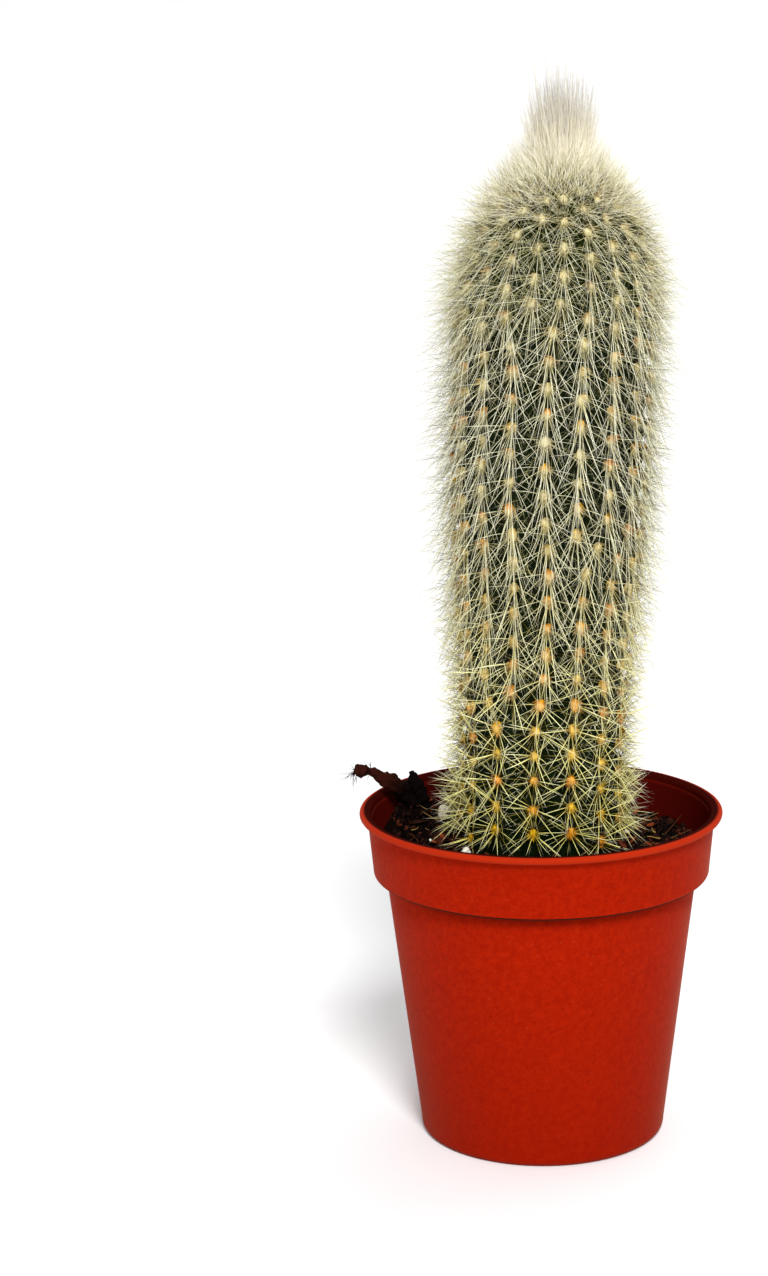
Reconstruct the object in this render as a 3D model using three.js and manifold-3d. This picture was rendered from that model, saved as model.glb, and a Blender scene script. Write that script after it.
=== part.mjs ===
// A silver torch cactus in its nursery pot.
// Millimetres, +Z up. The origin is the middle of the pot's underside. The front faces -Y and
// +X is on the front's right. Azimuths are in degrees, 0 at the front, growing towards +X.

import * as THREE from 'three';
import Module from 'manifold-3d';
import { mergeVertices } from 'three/addons/utils/BufferGeometryUtils.js';

// ---- Driving dimensions -----------------------------------------------------------------------

const GAP = 0.3; // between neighbouring pieces

// Pot: thin moulded plastic with a rolled lip, a collar, a step and a tapering wall.
const POT_SIDES = 44;
const POT_HEIGHT = 96.8;
const LIP_RADIUS = 52.5;
const LIP_HEIGHT = 1.9;
const LIP_EDGE = 0.5; // bevel round the lip's outside
const MOUTH_EDGE = 1.1; // bevel round the lip's inside
const COLLAR_TOP_RADIUS = 50.2;
const COLLAR_FOOT_RADIUS = 48.7;
const COLLAR_FOOT_Z = 78.9;
const COLLAR_EDGE = 1; // bevel under the collar
const STEP_FOOT_Z = 77.3;
const WALL_TOP_RADIUS = 45;
const FOOT_RADIUS = 35.7;
const FOOT_ROUND = 2.2;
const FOOT_BEVEL = 0.7;
const WALL = 1.2;
const FLOOR_TOP_Z = 2.2;
const PAD_RADIUS = 12; // flat middle of the underside
const FOOT_RING_WIDTH = 5;
const UNDERSIDE_RECESS = 0.8;
const DRAIN_HOLES = 6;
const DRAIN_RADIUS = 3;
const DRAIN_CIRCLE = 21;
const DRAIN_SIDES = 12;

// Soil: its surface lies below the rim and rises round the stem and at the left.
const SOIL_SIDES = 44;
const SOIL_RINGS = 8;
const SOIL_LEVEL = 85;
const STEM_MOUND = { height: 3.4, start: 22, reach: 9 };
const HEAP = { x: -37, y: 21, height: 8.5, reach: 11 };
const HOLLOW = { x: -45, y: -3, height: -4.5, reach: 7 };
const SOIL_BUMP = 0.6;

// Perlite and bark crumbs lying half sunk in the soil.
const GRAINS_IN_SIGHT = [
  { x: -27.2, y: 16.3, size: 5.5 },
  { x: -21.3, y: -17.2, size: 3.4 },
  { x: -12.5, y: -24.2, size: 1.8 },
  { x: 3.6, y: -26.2, size: 1.9 },
  { x: -38.5, y: 8, size: 3.6 },
  { x: -32.5, y: -8, size: 3.2 },
];
const SCATTERED_GRAINS = 16;
const GRAIN_SIZES = [1.6, 3.2];
const GRAIN_RISE = 0.2; // share of a grain's size by which its middle lies over the soil

// Stem: a leaning column with a dome, cut by shallow ribs.
const STEM_FOOT_RADIUS = 22.3;
const STEM_TOP_RADIUS = 26.5;
const STEM_SWELLS = [118, 205]; // heights between which the radius grows
const NECK_SWELL = { extra: 0.6, heights: [88, 112] };
const DOME_START_Z = 235;
const APEX_Z = 279;
const DOME_POWER = 2.3;
const LEAN = { start: 88, span: 190, offset: 7, power: 1.3 };
const RIB_COUNT = 21;
// New ribs appear between old ones as the stem widens: rib number to the height of its start.
// Ribs are numbered round the stem from the one at the front. The others start at the soil.
const RIB_STARTS = { 1: 175, 5: 240, 8: 134, 11: 236, 14: 138, 19: 130, 20: 237 };
const RIB_GROWTH = { below: 8, above: 12 };
const YOUNG_RIB = 0.05; // width of a rib that has not started, against a full one
const RIB_DEPTH = 3;
const RIB_TURNS = [
  // slow turns of the whole pattern about the stem: degrees between two heights
  { degrees: 6.5, from: 120, to: 148 },
  { degrees: -4.5, from: 168, to: 195 },
  { degrees: 6.5, from: 232, to: 250 },
];
const RIB_START_AZIMUTH = -5.5;

// Areoles: felted cushions along each rib, staggered between neighbouring ribs.
const FIRST_ROW_Z = 86;
const ROW_PITCH = 7.9;
const CROWN_PITCH = 0.45; // share of the pitch left where the radius has gone to nothing
const CROWN_RADIUS = 9;
const STAGGER = 0.25;
const LOWEST_AREOLE_Z = 90.5;
const AREOLE = { halfWidth: 1.3, halfHeight: 1.65, lift: 0.6, middle: 0.9 };
const AREOLE_SHARE = { width: 0.3, height: 0.24 }; // largest half sizes, as shares of the cell
const BEARING_WIDTH = 0.7; // a rib bears areoles once it is this wide, against a full one
const SUNK_CREST = 0.5; // depth of the crest between two areoles

// Spines: five on each areole, radiating low on the stem, combed down higher up, upright on the dome.
const SPINES_EACH = 5;
const FIRST_SPINE_ANGLE = 270; // the longest spine of an areole points down its rib
const COMBED = { begins: [125, 165], ends: [252, 270] };
const CROWN_LIFT = { heights: [255, 270], rise: 0.35 };
const CROWN_HABIT = [262, 276];
const SPINE_SPREAD = { radiating: 1.25, combed: 0.75, crown: 0.35 };
const SPINE_DROOP = { radiating: 0.1, combed: 0.55, longest: 1.5 };
const SIDE_LENGTHS = { plain: [8.5, 12], crown: [11.5, 16.2] };
const LONG_LENGTHS = { radiating: [12, 14], combed: [15, 18], crown: [15, 15] };
const SPINE_SCATTER = { angle: 18, spread: [0.75, 1.25] };
const SPINE_TRIES = 24;
const SPINE_SHRINK = 0.6; // share by which the last try is shorter
const STUB = 1.2; // length of a spine for which no try is clear
const SPINE_CLEARANCE = 0.12;
const SPINE_ROOT = 0.95;
const ROOT_CLEARANCE = 2;
const SOIL_CLEARANCE = 2.4;
const SHARES_OVER_SOIL = [0.4, 0.7, 1]; // places along a spine that are compared with the soil

// Buried foot of the stem, in a plain hole in the soil: ring radii and heights.
const FOOT_RINGS = [
  { radius: 19.5, z: 80, sides: 42 },
  { radius: 11, z: 70, sides: 14 },
];
const FOOT_TIP_Z = 67;
const HOLE_SIDES = 48;
const HOLE_CLEARANCE = 1.2;

// Crown: rings of skin between the last areoles and the apex, each facet with a tall bristle.
const CROWN_RINGS = [
  { radius: 6, sides: 21 },
  { radius: 2.6, sides: 7 },
];
const TUFT = { shortest: 17, longest: 31, spread: 1.32, jitter: 0.5, taper: 0.45 };

// Dead root that lies out of the soil and over the rim, with a splinter beside it.
const ROOT_PATH = [
  { x: -34.5, y: 22, z: 82, radius: 3.8 },
  { x: -36.3, y: 21, z: 89, radius: 4.2 },
  { x: -38.8, y: 20, z: 93.5, radius: 3.4 },
  { x: -43.3, y: 16, z: 99.2, radius: 2.5 },
  { x: -47.8, y: 14, z: 102.3, radius: 1.8 },
  { x: -50.8, y: 13.2, z: 103.9, radius: 1.3 },
  { x: -53, y: 12.4, z: 104.8, radius: 2 },
  { x: -55, y: 11.8, z: 104.6, radius: 1.9 },
];
const SPLINTER_PATH = [
  { x: -36, y: 20.5, z: 88, radius: 2.4 },
  { x: -36.3, y: 18.5, z: 96.5, radius: 2.4 },
  { x: -38, y: 17, z: 102.8, radius: 1 },
];
const ROOTLETS = [
  { from: [-55.2, 11.8, 104.2], to: [-58.3, 10.8, 99.4] },
  { from: [-55.5, 11.8, 104.9], to: [-59.1, 10.4, 102.7] },
  { from: [-50.3, 13.1, 104.2], to: [-51.3, 12.7, 108.6] },
];
const ROOT_SIDES = 10;
const SPLINTER_SIDES = 7;
const KNOTS = [
  // waves in the root's thickness: share, turns along it and turns round it
  { share: 0.16, along: 2.1, round: 3 },
  { share: 0.1, along: 1.3, round: -2 },
];
const ROOT_ENDS = { start: 0.4, end: 0.8 };
const ROOTLET_RADIUS = 0.5;

// ---- Materials --------------------------------------------------------------------------------

const plastic = new THREE.MeshStandardMaterial({ color: 0xb8220a, roughness: 0.42, metalness: 0 });
const earth = new THREE.MeshStandardMaterial({ color: 0x2a1710, roughness: 0.95, metalness: 0 });
const greenSkin = new THREE.MeshStandardMaterial({ color: 0x8f9673, roughness: 0.7, metalness: 0 });
const deadWood = new THREE.MeshStandardMaterial({ color: 0x2b1710, roughness: 0.9, metalness: 0 });

// ---- Helpers ----------------------------------------------------------------------------------

const manifold = await Module();
manifold.setup();

/** A seeded source of numbers from 0 to 1. */
function seededRandom(seed) {
  let state = seed;
  return () => {
    state = (Math.imul(state, 1664525) + 1013904223) >>> 0;
    return state / 4294967296;
  };
}

const between = (random, low, high) => low + (high - low) * random();
const radians = THREE.MathUtils.degToRad;
const rise = (from, to, value) => THREE.MathUtils.smoothstep(value, from, to);
const blend = THREE.MathUtils.lerp;

/** Turns a closed three.js geometry into a solid that can be cut and joined. */
function toSolid(geometry) {
  const bare = new THREE.BufferGeometry();
  bare.setAttribute('position', geometry.attributes.position);
  bare.setIndex(geometry.index);
  const merged = mergeVertices(bare, 1e-3);
  const corners = [];
  for (let i = 0; i < merged.index.count; i += 3) {
    const [a, b, c] = [0, 1, 2].map((step) => merged.index.getX(i + step));
    if (a !== b && b !== c && c !== a) corners.push(a, b, c);
  }
  return new manifold.Manifold(
    new manifold.Mesh({
      numProp: 3,
      vertProperties: Float32Array.from(merged.attributes.position.array),
      triVerts: Uint32Array.from(corners),
    }),
  );
}

/** Turns a solid back into a three.js geometry. */
function toGeometry(solid) {
  const mesh = solid.getMesh();
  const geometry = new THREE.BufferGeometry();
  geometry.setAttribute('position', new THREE.BufferAttribute(mesh.vertProperties, 3));
  geometry.setIndex(new THREE.BufferAttribute(mesh.triVerts, 1));
  geometry.computeVertexNormals();
  return geometry;
}

/** A solid of revolution about Z from [radius, height] pairs that start and end on the axis. */
function turned(profile, sides) {
  const points = profile.map(([radius, z]) => new THREE.Vector2(radius, z));
  return new THREE.LatheGeometry(points, sides).rotateX(Math.PI / 2);
}

/** A mesh of the group, with its name, shape and finish. */
function piece(name, geometry, material) {
  const mesh = new THREE.Mesh(geometry, material);
  mesh.name = name;
  return mesh;
}

// ---- Pot --------------------------------------------------------------------------------------

/** Inner radius of the pot at a height above its floor. */
function potInnerRadius(z) {
  const stepZ = STEP_FOOT_Z + WALL;
  const collarZ = COLLAR_FOOT_Z + WALL;
  const lipZ = POT_HEIGHT - LIP_HEIGHT;
  const along = (from, to) => (z - from) / (to - from);
  if (z < stepZ) return blend(FOOT_RADIUS, WALL_TOP_RADIUS, along(0, stepZ)) - WALL;
  if (z < collarZ) return blend(WALL_TOP_RADIUS, COLLAR_FOOT_RADIUS, along(stepZ, collarZ)) - WALL;
  return blend(COLLAR_FOOT_RADIUS, COLLAR_TOP_RADIUS, along(collarZ, lipZ)) - WALL;
}

function potGeometry() {
  const lipFootZ = POT_HEIGHT - LIP_HEIGHT;
  const ringInner = FOOT_RADIUS - FOOT_ROUND - FOOT_RING_WIDTH;
  const underside = [
    [0, 0],
    [PAD_RADIUS, 0],
    [PAD_RADIUS + UNDERSIDE_RECESS, UNDERSIDE_RECESS],
    [ringInner, UNDERSIDE_RECESS],
    [ringInner + UNDERSIDE_RECESS, 0],
    [FOOT_RADIUS - FOOT_ROUND, 0],
  ];
  const outside = [
    [FOOT_RADIUS - FOOT_BEVEL, FOOT_BEVEL],
    [FOOT_RADIUS, FOOT_ROUND],
    [WALL_TOP_RADIUS, STEP_FOOT_Z],
    [COLLAR_FOOT_RADIUS - COLLAR_EDGE, COLLAR_FOOT_Z - COLLAR_EDGE],
    [COLLAR_FOOT_RADIUS, COLLAR_FOOT_Z],
    [COLLAR_TOP_RADIUS, lipFootZ],
  ];
  const lip = [
    [LIP_RADIUS - LIP_EDGE, lipFootZ],
    [LIP_RADIUS, lipFootZ + LIP_EDGE],
    [LIP_RADIUS, POT_HEIGHT - LIP_EDGE],
    [LIP_RADIUS - LIP_EDGE, POT_HEIGHT],
    [COLLAR_TOP_RADIUS - WALL + MOUTH_EDGE, POT_HEIGHT],
    [COLLAR_TOP_RADIUS - WALL, POT_HEIGHT - MOUTH_EDGE],
  ];
  const insideHeights = [COLLAR_FOOT_Z + WALL, STEP_FOOT_Z + WALL, FLOOR_TOP_Z + WALL];
  const inside = insideHeights.map((z) => [potInnerRadius(z), z]);
  inside.push([potInnerRadius(FLOOR_TOP_Z) - WALL, FLOOR_TOP_Z], [0, FLOOR_TOP_Z]);
  let pot = toSolid(turned([...underside, ...outside, ...lip, ...inside], POT_SIDES));
  for (let hole = 0; hole < DRAIN_HOLES; hole += 1) {
    const turn = (2 * Math.PI * (hole + 0.5)) / DRAIN_HOLES;
    const drill = new THREE.CylinderGeometry(DRAIN_RADIUS, DRAIN_RADIUS, 4 * FLOOR_TOP_Z, DRAIN_SIDES);
    drill.rotateX(Math.PI / 2);
    drill.translate(DRAIN_CIRCLE * Math.cos(turn), DRAIN_CIRCLE * Math.sin(turn), 0);
    pot = pot.subtract(toSolid(drill));
  }
  return toGeometry(pot);
}

// ---- Soil -------------------------------------------------------------------------------------

/** Height of a round heap or hollow over a point. */
function heapHeight({ x, y, height, reach }, atX, atY) {
  return height * Math.exp(-((atX - x) ** 2 + (atY - y) ** 2) / reach ** 2);
}

/** Height of the soil's surface: a level, a mound round the stem, a heap, a hollow and ripples. */
function soilHeight(x, y) {
  const fromStem = Math.max(Math.hypot(x, y) - STEM_MOUND.start, 0);
  const mound = STEM_MOUND.height * Math.exp(-((fromStem / STEM_MOUND.reach) ** 2));
  const ripple = Math.sin(0.55 * x + 1.3) * Math.sin(0.62 * y - 0.4) + 0.6 * Math.sin(1.1 * x - 0.9 * y);
  return SOIL_LEVEL + mound + heapHeight(HEAP, x, y) + heapHeight(HOLLOW, x, y) + SOIL_BUMP * ripple;
}

/** The soil as it fills the pot, with its uneven surface. */
function soilBody() {
  const bottom = FLOOR_TOP_Z + GAP;
  const edge = potInnerRadius(SOIL_LEVEL) - GAP;
  const profile = [
    [0, bottom],
    [potInnerRadius(bottom) - WALL - GAP, bottom],
    [potInnerRadius(bottom + WALL) - GAP, bottom + WALL],
    [potInnerRadius(STEP_FOOT_Z + WALL) - GAP, STEP_FOOT_Z + WALL],
    [potInnerRadius(COLLAR_FOOT_Z + WALL) - GAP, COLLAR_FOOT_Z + WALL + GAP],
  ];
  for (let ring = 0; ring < SOIL_RINGS; ring += 1) {
    profile.push([edge * (1 - ring / SOIL_RINGS), SOIL_LEVEL]);
  }
  profile.push([0, SOIL_LEVEL]);
  const body = turned(profile, SOIL_SIDES);
  const places = body.attributes.position;
  for (let i = 0; i < places.count; i += 1) {
    if (places.getZ(i) < SOIL_LEVEL - 0.01) continue;
    const [x, y] = [places.getX(i), places.getY(i)];
    const height = Math.max(soilHeight(x, y), COLLAR_FOOT_Z + WALL + 2 * GAP);
    const inward = Math.min(1, (potInnerRadius(height) - GAP) / Math.max(Math.hypot(x, y), 1));
    places.setXYZ(i, x * inward, y * inward, height);
  }
  return toSolid(body);
}

/** One angular grain, half sunk in the soil's surface. */
function grain(random, { x, y, size }) {
  const shape = new THREE.IcosahedronGeometry(size / 2, 0);
  shape.scale(1, between(random, 0.75, 1), between(random, 0.6, 0.9));
  shape.rotateX(between(random, 0, Math.PI));
  shape.rotateZ(between(random, 0, Math.PI));
  shape.translate(x, y, soilHeight(x, y) + GRAIN_RISE * size);
  return toSolid(shape);
}

/** Places of all grains: those in sight, and a scatter between the stem and the wall. */
function grainPlaces(random) {
  const places = [...GRAINS_IN_SIGHT];
  for (let i = 0; i < SCATTERED_GRAINS; i += 1) {
    const radius = between(random, STEM_FOOT_RADIUS + 5, potInnerRadius(SOIL_LEVEL) - 4);
    const turn = 2 * Math.PI * ((i + between(random, 0.2, 0.8)) / SCATTERED_GRAINS);
    const size = between(random, ...GRAIN_SIZES);
    places.push({ x: radius * Math.cos(turn), y: radius * Math.sin(turn), size });
  }
  return places;
}

/** The plain hole that the stem stands in. */
function stemHole() {
  const wide = STEM_FOOT_RADIUS + NECK_SWELL.extra + HOLE_CLEARANCE;
  const profile = [[0, FOOT_TIP_Z - GAP]];
  for (const { radius, z } of [...FOOT_RINGS].reverse()) profile.push([radius + GAP, z - GAP]);
  profile.push([wide, FIRST_ROW_Z - 1], [wide, POT_HEIGHT + 10], [0, POT_HEIGHT + 10]);
  return toSolid(turned(profile, HOLE_SIDES));
}

function soilGeometry() {
  const random = seededRandom(11);
  let soil = soilBody();
  for (const place of grainPlaces(random)) soil = soil.add(grain(random, place));
  soil = soil.subtract(stemHole());
  soil = soil.subtract(gnarledTube(ROOT_PATH, ROOT_SIDES, GAP));
  soil = soil.subtract(gnarledTube(SPLINTER_PATH, SPLINTER_SIDES, GAP));
  const largest = soil.decompose().sort((a, b) => b.volume() - a.volume())[0];
  return toGeometry(largest);
}

// ---- Dead root --------------------------------------------------------------------------------

/** A knotty tube along a smooth path, thicker or thinner at each given place. */
function gnarledTube(path, sides, swell) {
  const curve = new THREE.CatmullRomCurve3(path.map(({ x, y, z }) => new THREE.Vector3(x, y, z)));
  const steps = 2 * (path.length - 1);
  const frames = curve.computeFrenetFrames(steps);
  const corners = [];
  for (let step = 0; step <= steps; step += 1) {
    const middle = curve.getPoint(step / steps);
    const before = Math.floor(step / 2);
    const after = Math.min(before + 1, path.length - 1);
    const radius = blend(path[before].radius, path[after].radius, (step % 2) / 2);
    for (let side = 0; side < sides; side += 1) {
      const turn = (2 * Math.PI * side) / sides;
      const waves = KNOTS.map(({ share, along, round }) => share * Math.sin(along * step + round * turn));
      const reach = radius * waves.reduce((sum, wave) => sum + wave, 1) + swell;
      corners.push(
        middle
          .clone()
          .addScaledVector(frames.normals[step], reach * Math.cos(turn))
          .addScaledVector(frames.binormals[step], reach * Math.sin(turn)),
      );
    }
  }
  const foot = curve.getPoint(0).addScaledVector(frames.tangents[0], -swell - ROOT_ENDS.start);
  const tip = curve.getPoint(1).addScaledVector(frames.tangents[steps], swell + ROOT_ENDS.end);
  const start = corners.push(foot) - 1;
  const end = corners.push(tip) - 1;
  const faces = [];
  for (let side = 0; side < sides; side += 1) {
    const next = (side + 1) % sides;
    for (let step = 0; step < steps; step += 1) {
      const [a, b] = [step * sides + side, step * sides + next];
      faces.push(a, b, b + sides, a, b + sides, a + sides);
    }
    faces.push(start, next, side, end, steps * sides + side, steps * sides + next);
  }
  return toSolid(indexedGeometry(corners, faces));
}

/** A geometry from corner points and the numbers of each triangle's corners. */
function indexedGeometry(corners, faces) {
  const geometry = new THREE.BufferGeometry();
  geometry.setFromPoints(corners);
  geometry.setIndex(faces);
  return geometry;
}

/** A thin root hair with a point, its thick end inside the root. */
function rootlet({ from, to }) {
  const start = new THREE.Vector3(...from);
  const end = new THREE.Vector3(...to);
  const length = start.distanceTo(end);
  const cone = new THREE.ConeGeometry(ROOTLET_RADIUS, length, 4);
  const along = end.clone().sub(start).normalize();
  cone.applyQuaternion(new THREE.Quaternion().setFromUnitVectors(new THREE.Vector3(0, 1, 0), along));
  const middle = start.add(end).multiplyScalar(0.5);
  cone.translate(middle.x, middle.y, middle.z);
  return toSolid(cone);
}

function rootGeometry() {
  let root = gnarledTube(ROOT_PATH, ROOT_SIDES, 0).add(gnarledTube(SPLINTER_PATH, SPLINTER_SIDES, 0));
  for (const hair of ROOTLETS) root = root.add(rootlet(hair));
  return toGeometry(root);
}

// ---- Stem -------------------------------------------------------------------------------------

/** Sideways place of the stem's middle line: it leans towards +X as it rises. */
function leanAt(z) {
  const share = THREE.MathUtils.clamp((z - LEAN.start) / LEAN.span, 0, 1.2);
  return LEAN.offset * share ** LEAN.power;
}

/** Radius over the rib crests at a height: a swelling column, closed by a dome. */
function crestRadius(z) {
  const swollen = rise(...STEM_SWELLS, z);
  const column = blend(STEM_FOOT_RADIUS, STEM_TOP_RADIUS, swollen);
  const neck = NECK_SWELL.extra * (1 - rise(...NECK_SWELL.heights, z));
  const climb = THREE.MathUtils.clamp((z - DOME_START_Z) / (APEX_Z - DOME_START_Z), 0, 1);
  return (column + neck) * Math.sqrt(1 - climb ** DOME_POWER);
}

/** Width of a rib at a height, as a share of a full one. */
function ribWidth(rib, z) {
  const start = RIB_STARTS[rib];
  if (start === undefined) return 1;
  return blend(YOUNG_RIB, 1, rise(start - RIB_GROWTH.below, start + RIB_GROWTH.above, z));
}

/** Azimuth, in radians, of a place between 0 and RIB_COUNT round the stem; whole numbers are crests. */
function ribAzimuth(place, z) {
  let before = 0;
  let whole = 0;
  for (let rib = 0; rib < RIB_COUNT; rib += 1) {
    const width = ribWidth(rib, z);
    const passed = THREE.MathUtils.clamp(place + 0.5 - rib, 0, 1);
    before += passed * width;
    whole += width;
  }
  const turns = RIB_TURNS.reduce((sum, { degrees, from, to }) => sum + degrees * rise(from, to, z), 0);
  const frontHalf = ribWidth(0, z) / 2;
  return (2 * Math.PI * (before - frontHalf)) / whole + radians(RIB_START_AZIMUTH + turns);
}

/** Heights of the lines between rows of areoles, closer together towards the crown. */
function rowHeights() {
  const heights = [FIRST_ROW_Z];
  const step = 0.05;
  let walked = 0;
  for (let z = FIRST_ROW_Z; crestRadius(z) > CROWN_RADIUS; z += step) {
    const radius = crestRadius(z);
    walked += Math.hypot(step, crestRadius(z + step) - radius);
    const dome = Math.min(radius / STEM_FOOT_RADIUS, 1);
    if (walked >= ROW_PITCH * blend(CROWN_PITCH, 1, dome)) {
      heights.push(z + step);
      walked = 0;
    }
  }
  return heights;
}

const rows = rowHeights();

/** Height of a place on the row scale, where whole numbers are the lines between rows. */
function rowHeight(row) {
  const line = Math.min(Math.floor(row), rows.length - 2);
  return blend(rows[line], rows[line + 1], row - line);
}

/** A point of the skin: place round the stem, height, and how deep it lies below the crests. */
function skinPoint(place, z, depth) {
  const azimuth = ribAzimuth(place, z);
  const radius = crestRadius(z) - depth;
  return new THREE.Vector3(leanAt(z) + radius * Math.sin(azimuth), -radius * Math.cos(azimuth), z);
}

/** Depth of the grooves at a height: shallower where the stem narrows. */
function grooveDepth(z) {
  return RIB_DEPTH * Math.min(1, crestRadius(z) / STEM_FOOT_RADIUS);
}

/** Share of a row by which a rib's corners lie off the row's lines; the first and last line are level. */
function stagger(rib, row) {
  if (row <= 0 || row >= rows.length - 1) return 0;
  const side = rib % 2 === 0 ? -1 : 1;
  return side * STAGGER * ribWidth(rib, rowHeight(row));
}

/** The directions at a point of the skin: outwards, sideways and up along the rib. */
function skinFrame(place, z) {
  const step = 0.05;
  const up = skinPoint(place, z + step, 0).sub(skinPoint(place, z - step, 0)).normalize();
  const azimuth = ribAzimuth(place, z);
  const side = new THREE.Vector3(Math.cos(azimuth), Math.sin(azimuth), 0);
  side.addScaledVector(up, -side.dot(up)).normalize();
  const out = new THREE.Vector3().crossVectors(side, up).normalize();
  return { out, side, up };
}

// ---- Spines -----------------------------------------------------------------------------------

const random = seededRandom(2026);
const placed = [];

/** Whether a spine keeps clear of the spines already placed, of the soil and of the dead root. */
function isClear(line, family) {
  const here = new THREE.Vector3();
  const there = new THREE.Vector3();
  const reach = line.distance();
  const middle = line.getCenter(new THREE.Vector3());
  for (const other of placed) {
    if (other.family === family) continue;
    if (middle.distanceTo(other.middle) > (reach + other.reach) / 2 + 2 * SPINE_ROOT) continue;
    const apart = Math.sqrt(line.distanceSqToLine3(other.line, here, there));
    const ownWidth = SPINE_ROOT * (1 - here.distanceTo(line.start) / reach);
    const otherWidth = other.root * (1 - there.distanceTo(other.line.start) / other.reach);
    if (apart < ownWidth + otherWidth + SPINE_CLEARANCE) return false;
  }
  for (const share of SHARES_OVER_SOIL) {
    const point = line.at(share, here);
    const overSoil = Math.hypot(point.x, point.y) > STEM_FOOT_RADIUS;
    if (overSoil && point.z < soilHeight(point.x, point.y) + SOIL_CLEARANCE) return false;
  }
  return true;
}

/** Puts a spine on the list of those placed. */
function keep(line, root, family) {
  const middle = line.getCenter(new THREE.Vector3());
  placed.push({ line, root, family, middle, reach: line.distance() });
}

for (const path of [ROOT_PATH, SPLINTER_PATH]) {
  for (let i = 0; i + 1 < path.length; i += 1) {
    const ends = [path[i], path[i + 1]].map(({ x, y, z }) => new THREE.Vector3(x, y, z));
    keep(new THREE.Line3(...ends), 2 * path[i].radius + ROOT_CLEARANCE, 'root');
  }
}

/** How the spines of an areole stand at a height: sideways spread, droop and lengths. */
function spineHabit(z) {
  const combed = rise(...COMBED.begins, z) * (1 - rise(...COMBED.ends, z));
  const crown = rise(...CROWN_HABIT, z);
  const mixed = (from, to, share) => from.map((value, i) => blend(value, to[i], share));
  const spread = blend(SPINE_SPREAD.radiating, SPINE_SPREAD.combed, combed);
  const droop = blend(SPINE_DROOP.radiating, SPINE_DROOP.combed, combed);
  const long = mixed(LONG_LENGTHS.radiating, LONG_LENGTHS.combed, combed);
  return {
    spread: blend(spread, SPINE_SPREAD.crown, crown),
    droop: droop - CROWN_LIFT.rise * rise(...CROWN_LIFT.heights, z),
    side: mixed(SIDE_LENGTHS.plain, SIDE_LENGTHS.crown, crown),
    long: mixed(long, LONG_LENGTHS.crown, crown),
  };
}

/** A spine's tip: tries draws until one is clear of the rest, and shortens it if none is. */
function spineTip(root, frame, angle, isLong, habit, family) {
  for (let attempt = 0; attempt < SPINE_TRIES; attempt += 1) {
    const turn = radians(angle + between(random, -SPINE_SCATTER.angle, SPINE_SCATTER.angle));
    const spread = habit.spread * between(random, ...SPINE_SCATTER.spread);
    const droop = isLong ? SPINE_DROOP.longest * habit.droop : habit.droop;
    const along = frame.out
      .clone()
      .addScaledVector(frame.side, spread * Math.cos(turn))
      .addScaledVector(frame.up, spread * Math.sin(turn) - droop)
      .normalize();
    const shrink = 1 - SPINE_SHRINK * (attempt / SPINE_TRIES) ** 2;
    const length = between(random, ...(isLong ? habit.long : habit.side)) * shrink;
    const line = new THREE.Line3(root, root.clone().addScaledVector(along, length));
    if (isClear(line, family)) {
      keep(line, SPINE_ROOT, family);
      return line.end;
    }
  }
  return root.clone().addScaledVector(frame.out, STUB);
}

// ---- Cactus -----------------------------------------------------------------------------------

/** Collects the cactus's corners and triangles. */
class Skin {
  constructor() {
    this.corners = [];
    this.faces = [];
    this.named = new Map();
  }

  /** The number of a corner, made on its first use under this name. */
  corner(name, place) {
    if (!this.named.has(name)) this.named.set(name, this.corners.push(place()) - 1);
    return this.named.get(name);
  }

  /** Adds a corner that only one cell uses. */
  add(point) {
    return this.corners.push(point) - 1;
  }

  face(a, b, c) {
    this.faces.push(a, b, c);
  }

  /** A spine of three faces that stands on the triangle a, b, c. */
  spine(a, b, c, tip) {
    const point = this.add(tip);
    this.face(a, b, point);
    this.face(b, c, point);
    this.face(c, a, point);
  }

  middle(...numbers) {
    const sum = numbers.reduce((total, number) => total.add(this.corners[number]), new THREE.Vector3());
    return sum.divideScalar(numbers.length);
  }
}

const skin = new Skin();

/** Number of the groove corner after a rib, on a line between rows. */
function grooveCorner(rib, row) {
  const place = (rib + RIB_COUNT) % RIB_COUNT;
  const z = rows[row];
  return skin.corner(`groove ${place} ${row}`, () => skinPoint(place + 0.5, z, grooveDepth(z)));
}

/** Number of the crest corner of a rib, near a line between rows. */
function crestCorner(rib, row) {
  return skin.corner(`crest ${rib} ${row}`, () => {
    const z = rowHeight(row + stagger(rib, row));
    const sunk = blend(grooveDepth(z), SUNK_CREST, ribWidth(rib, z));
    return skinPoint(rib, z, sunk);
  });
}

/** Joins an outer loop to an inner loop, both anticlockwise, by the angle of their corners. */
function stitch(outer, inner) {
  const loops = [outer, inner].map((loop) => [...loop].sort((a, b) => a.angle - b.angle));
  const at = [0, 0];
  const upcoming = (which) => {
    const loop = loops[which];
    const turns = Math.floor((at[which] + 1) / loop.length);
    return loop[(at[which] + 1) % loop.length].angle + 2 * Math.PI * turns;
  };
  for (let left = outer.length + inner.length; left > 0; left -= 1) {
    const outerFirst = at[0] < outer.length && (at[1] >= inner.length || upcoming(0) <= upcoming(1));
    const here = loops.map((loop, which) => loop[at[which] % loop.length].number);
    const which = outerFirst ? 0 : 1;
    const next = loops[which][(at[which] + 1) % loops[which].length].number;
    skin.face(here[1], here[0], next);
    at[which] += 1;
  }
}

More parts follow.
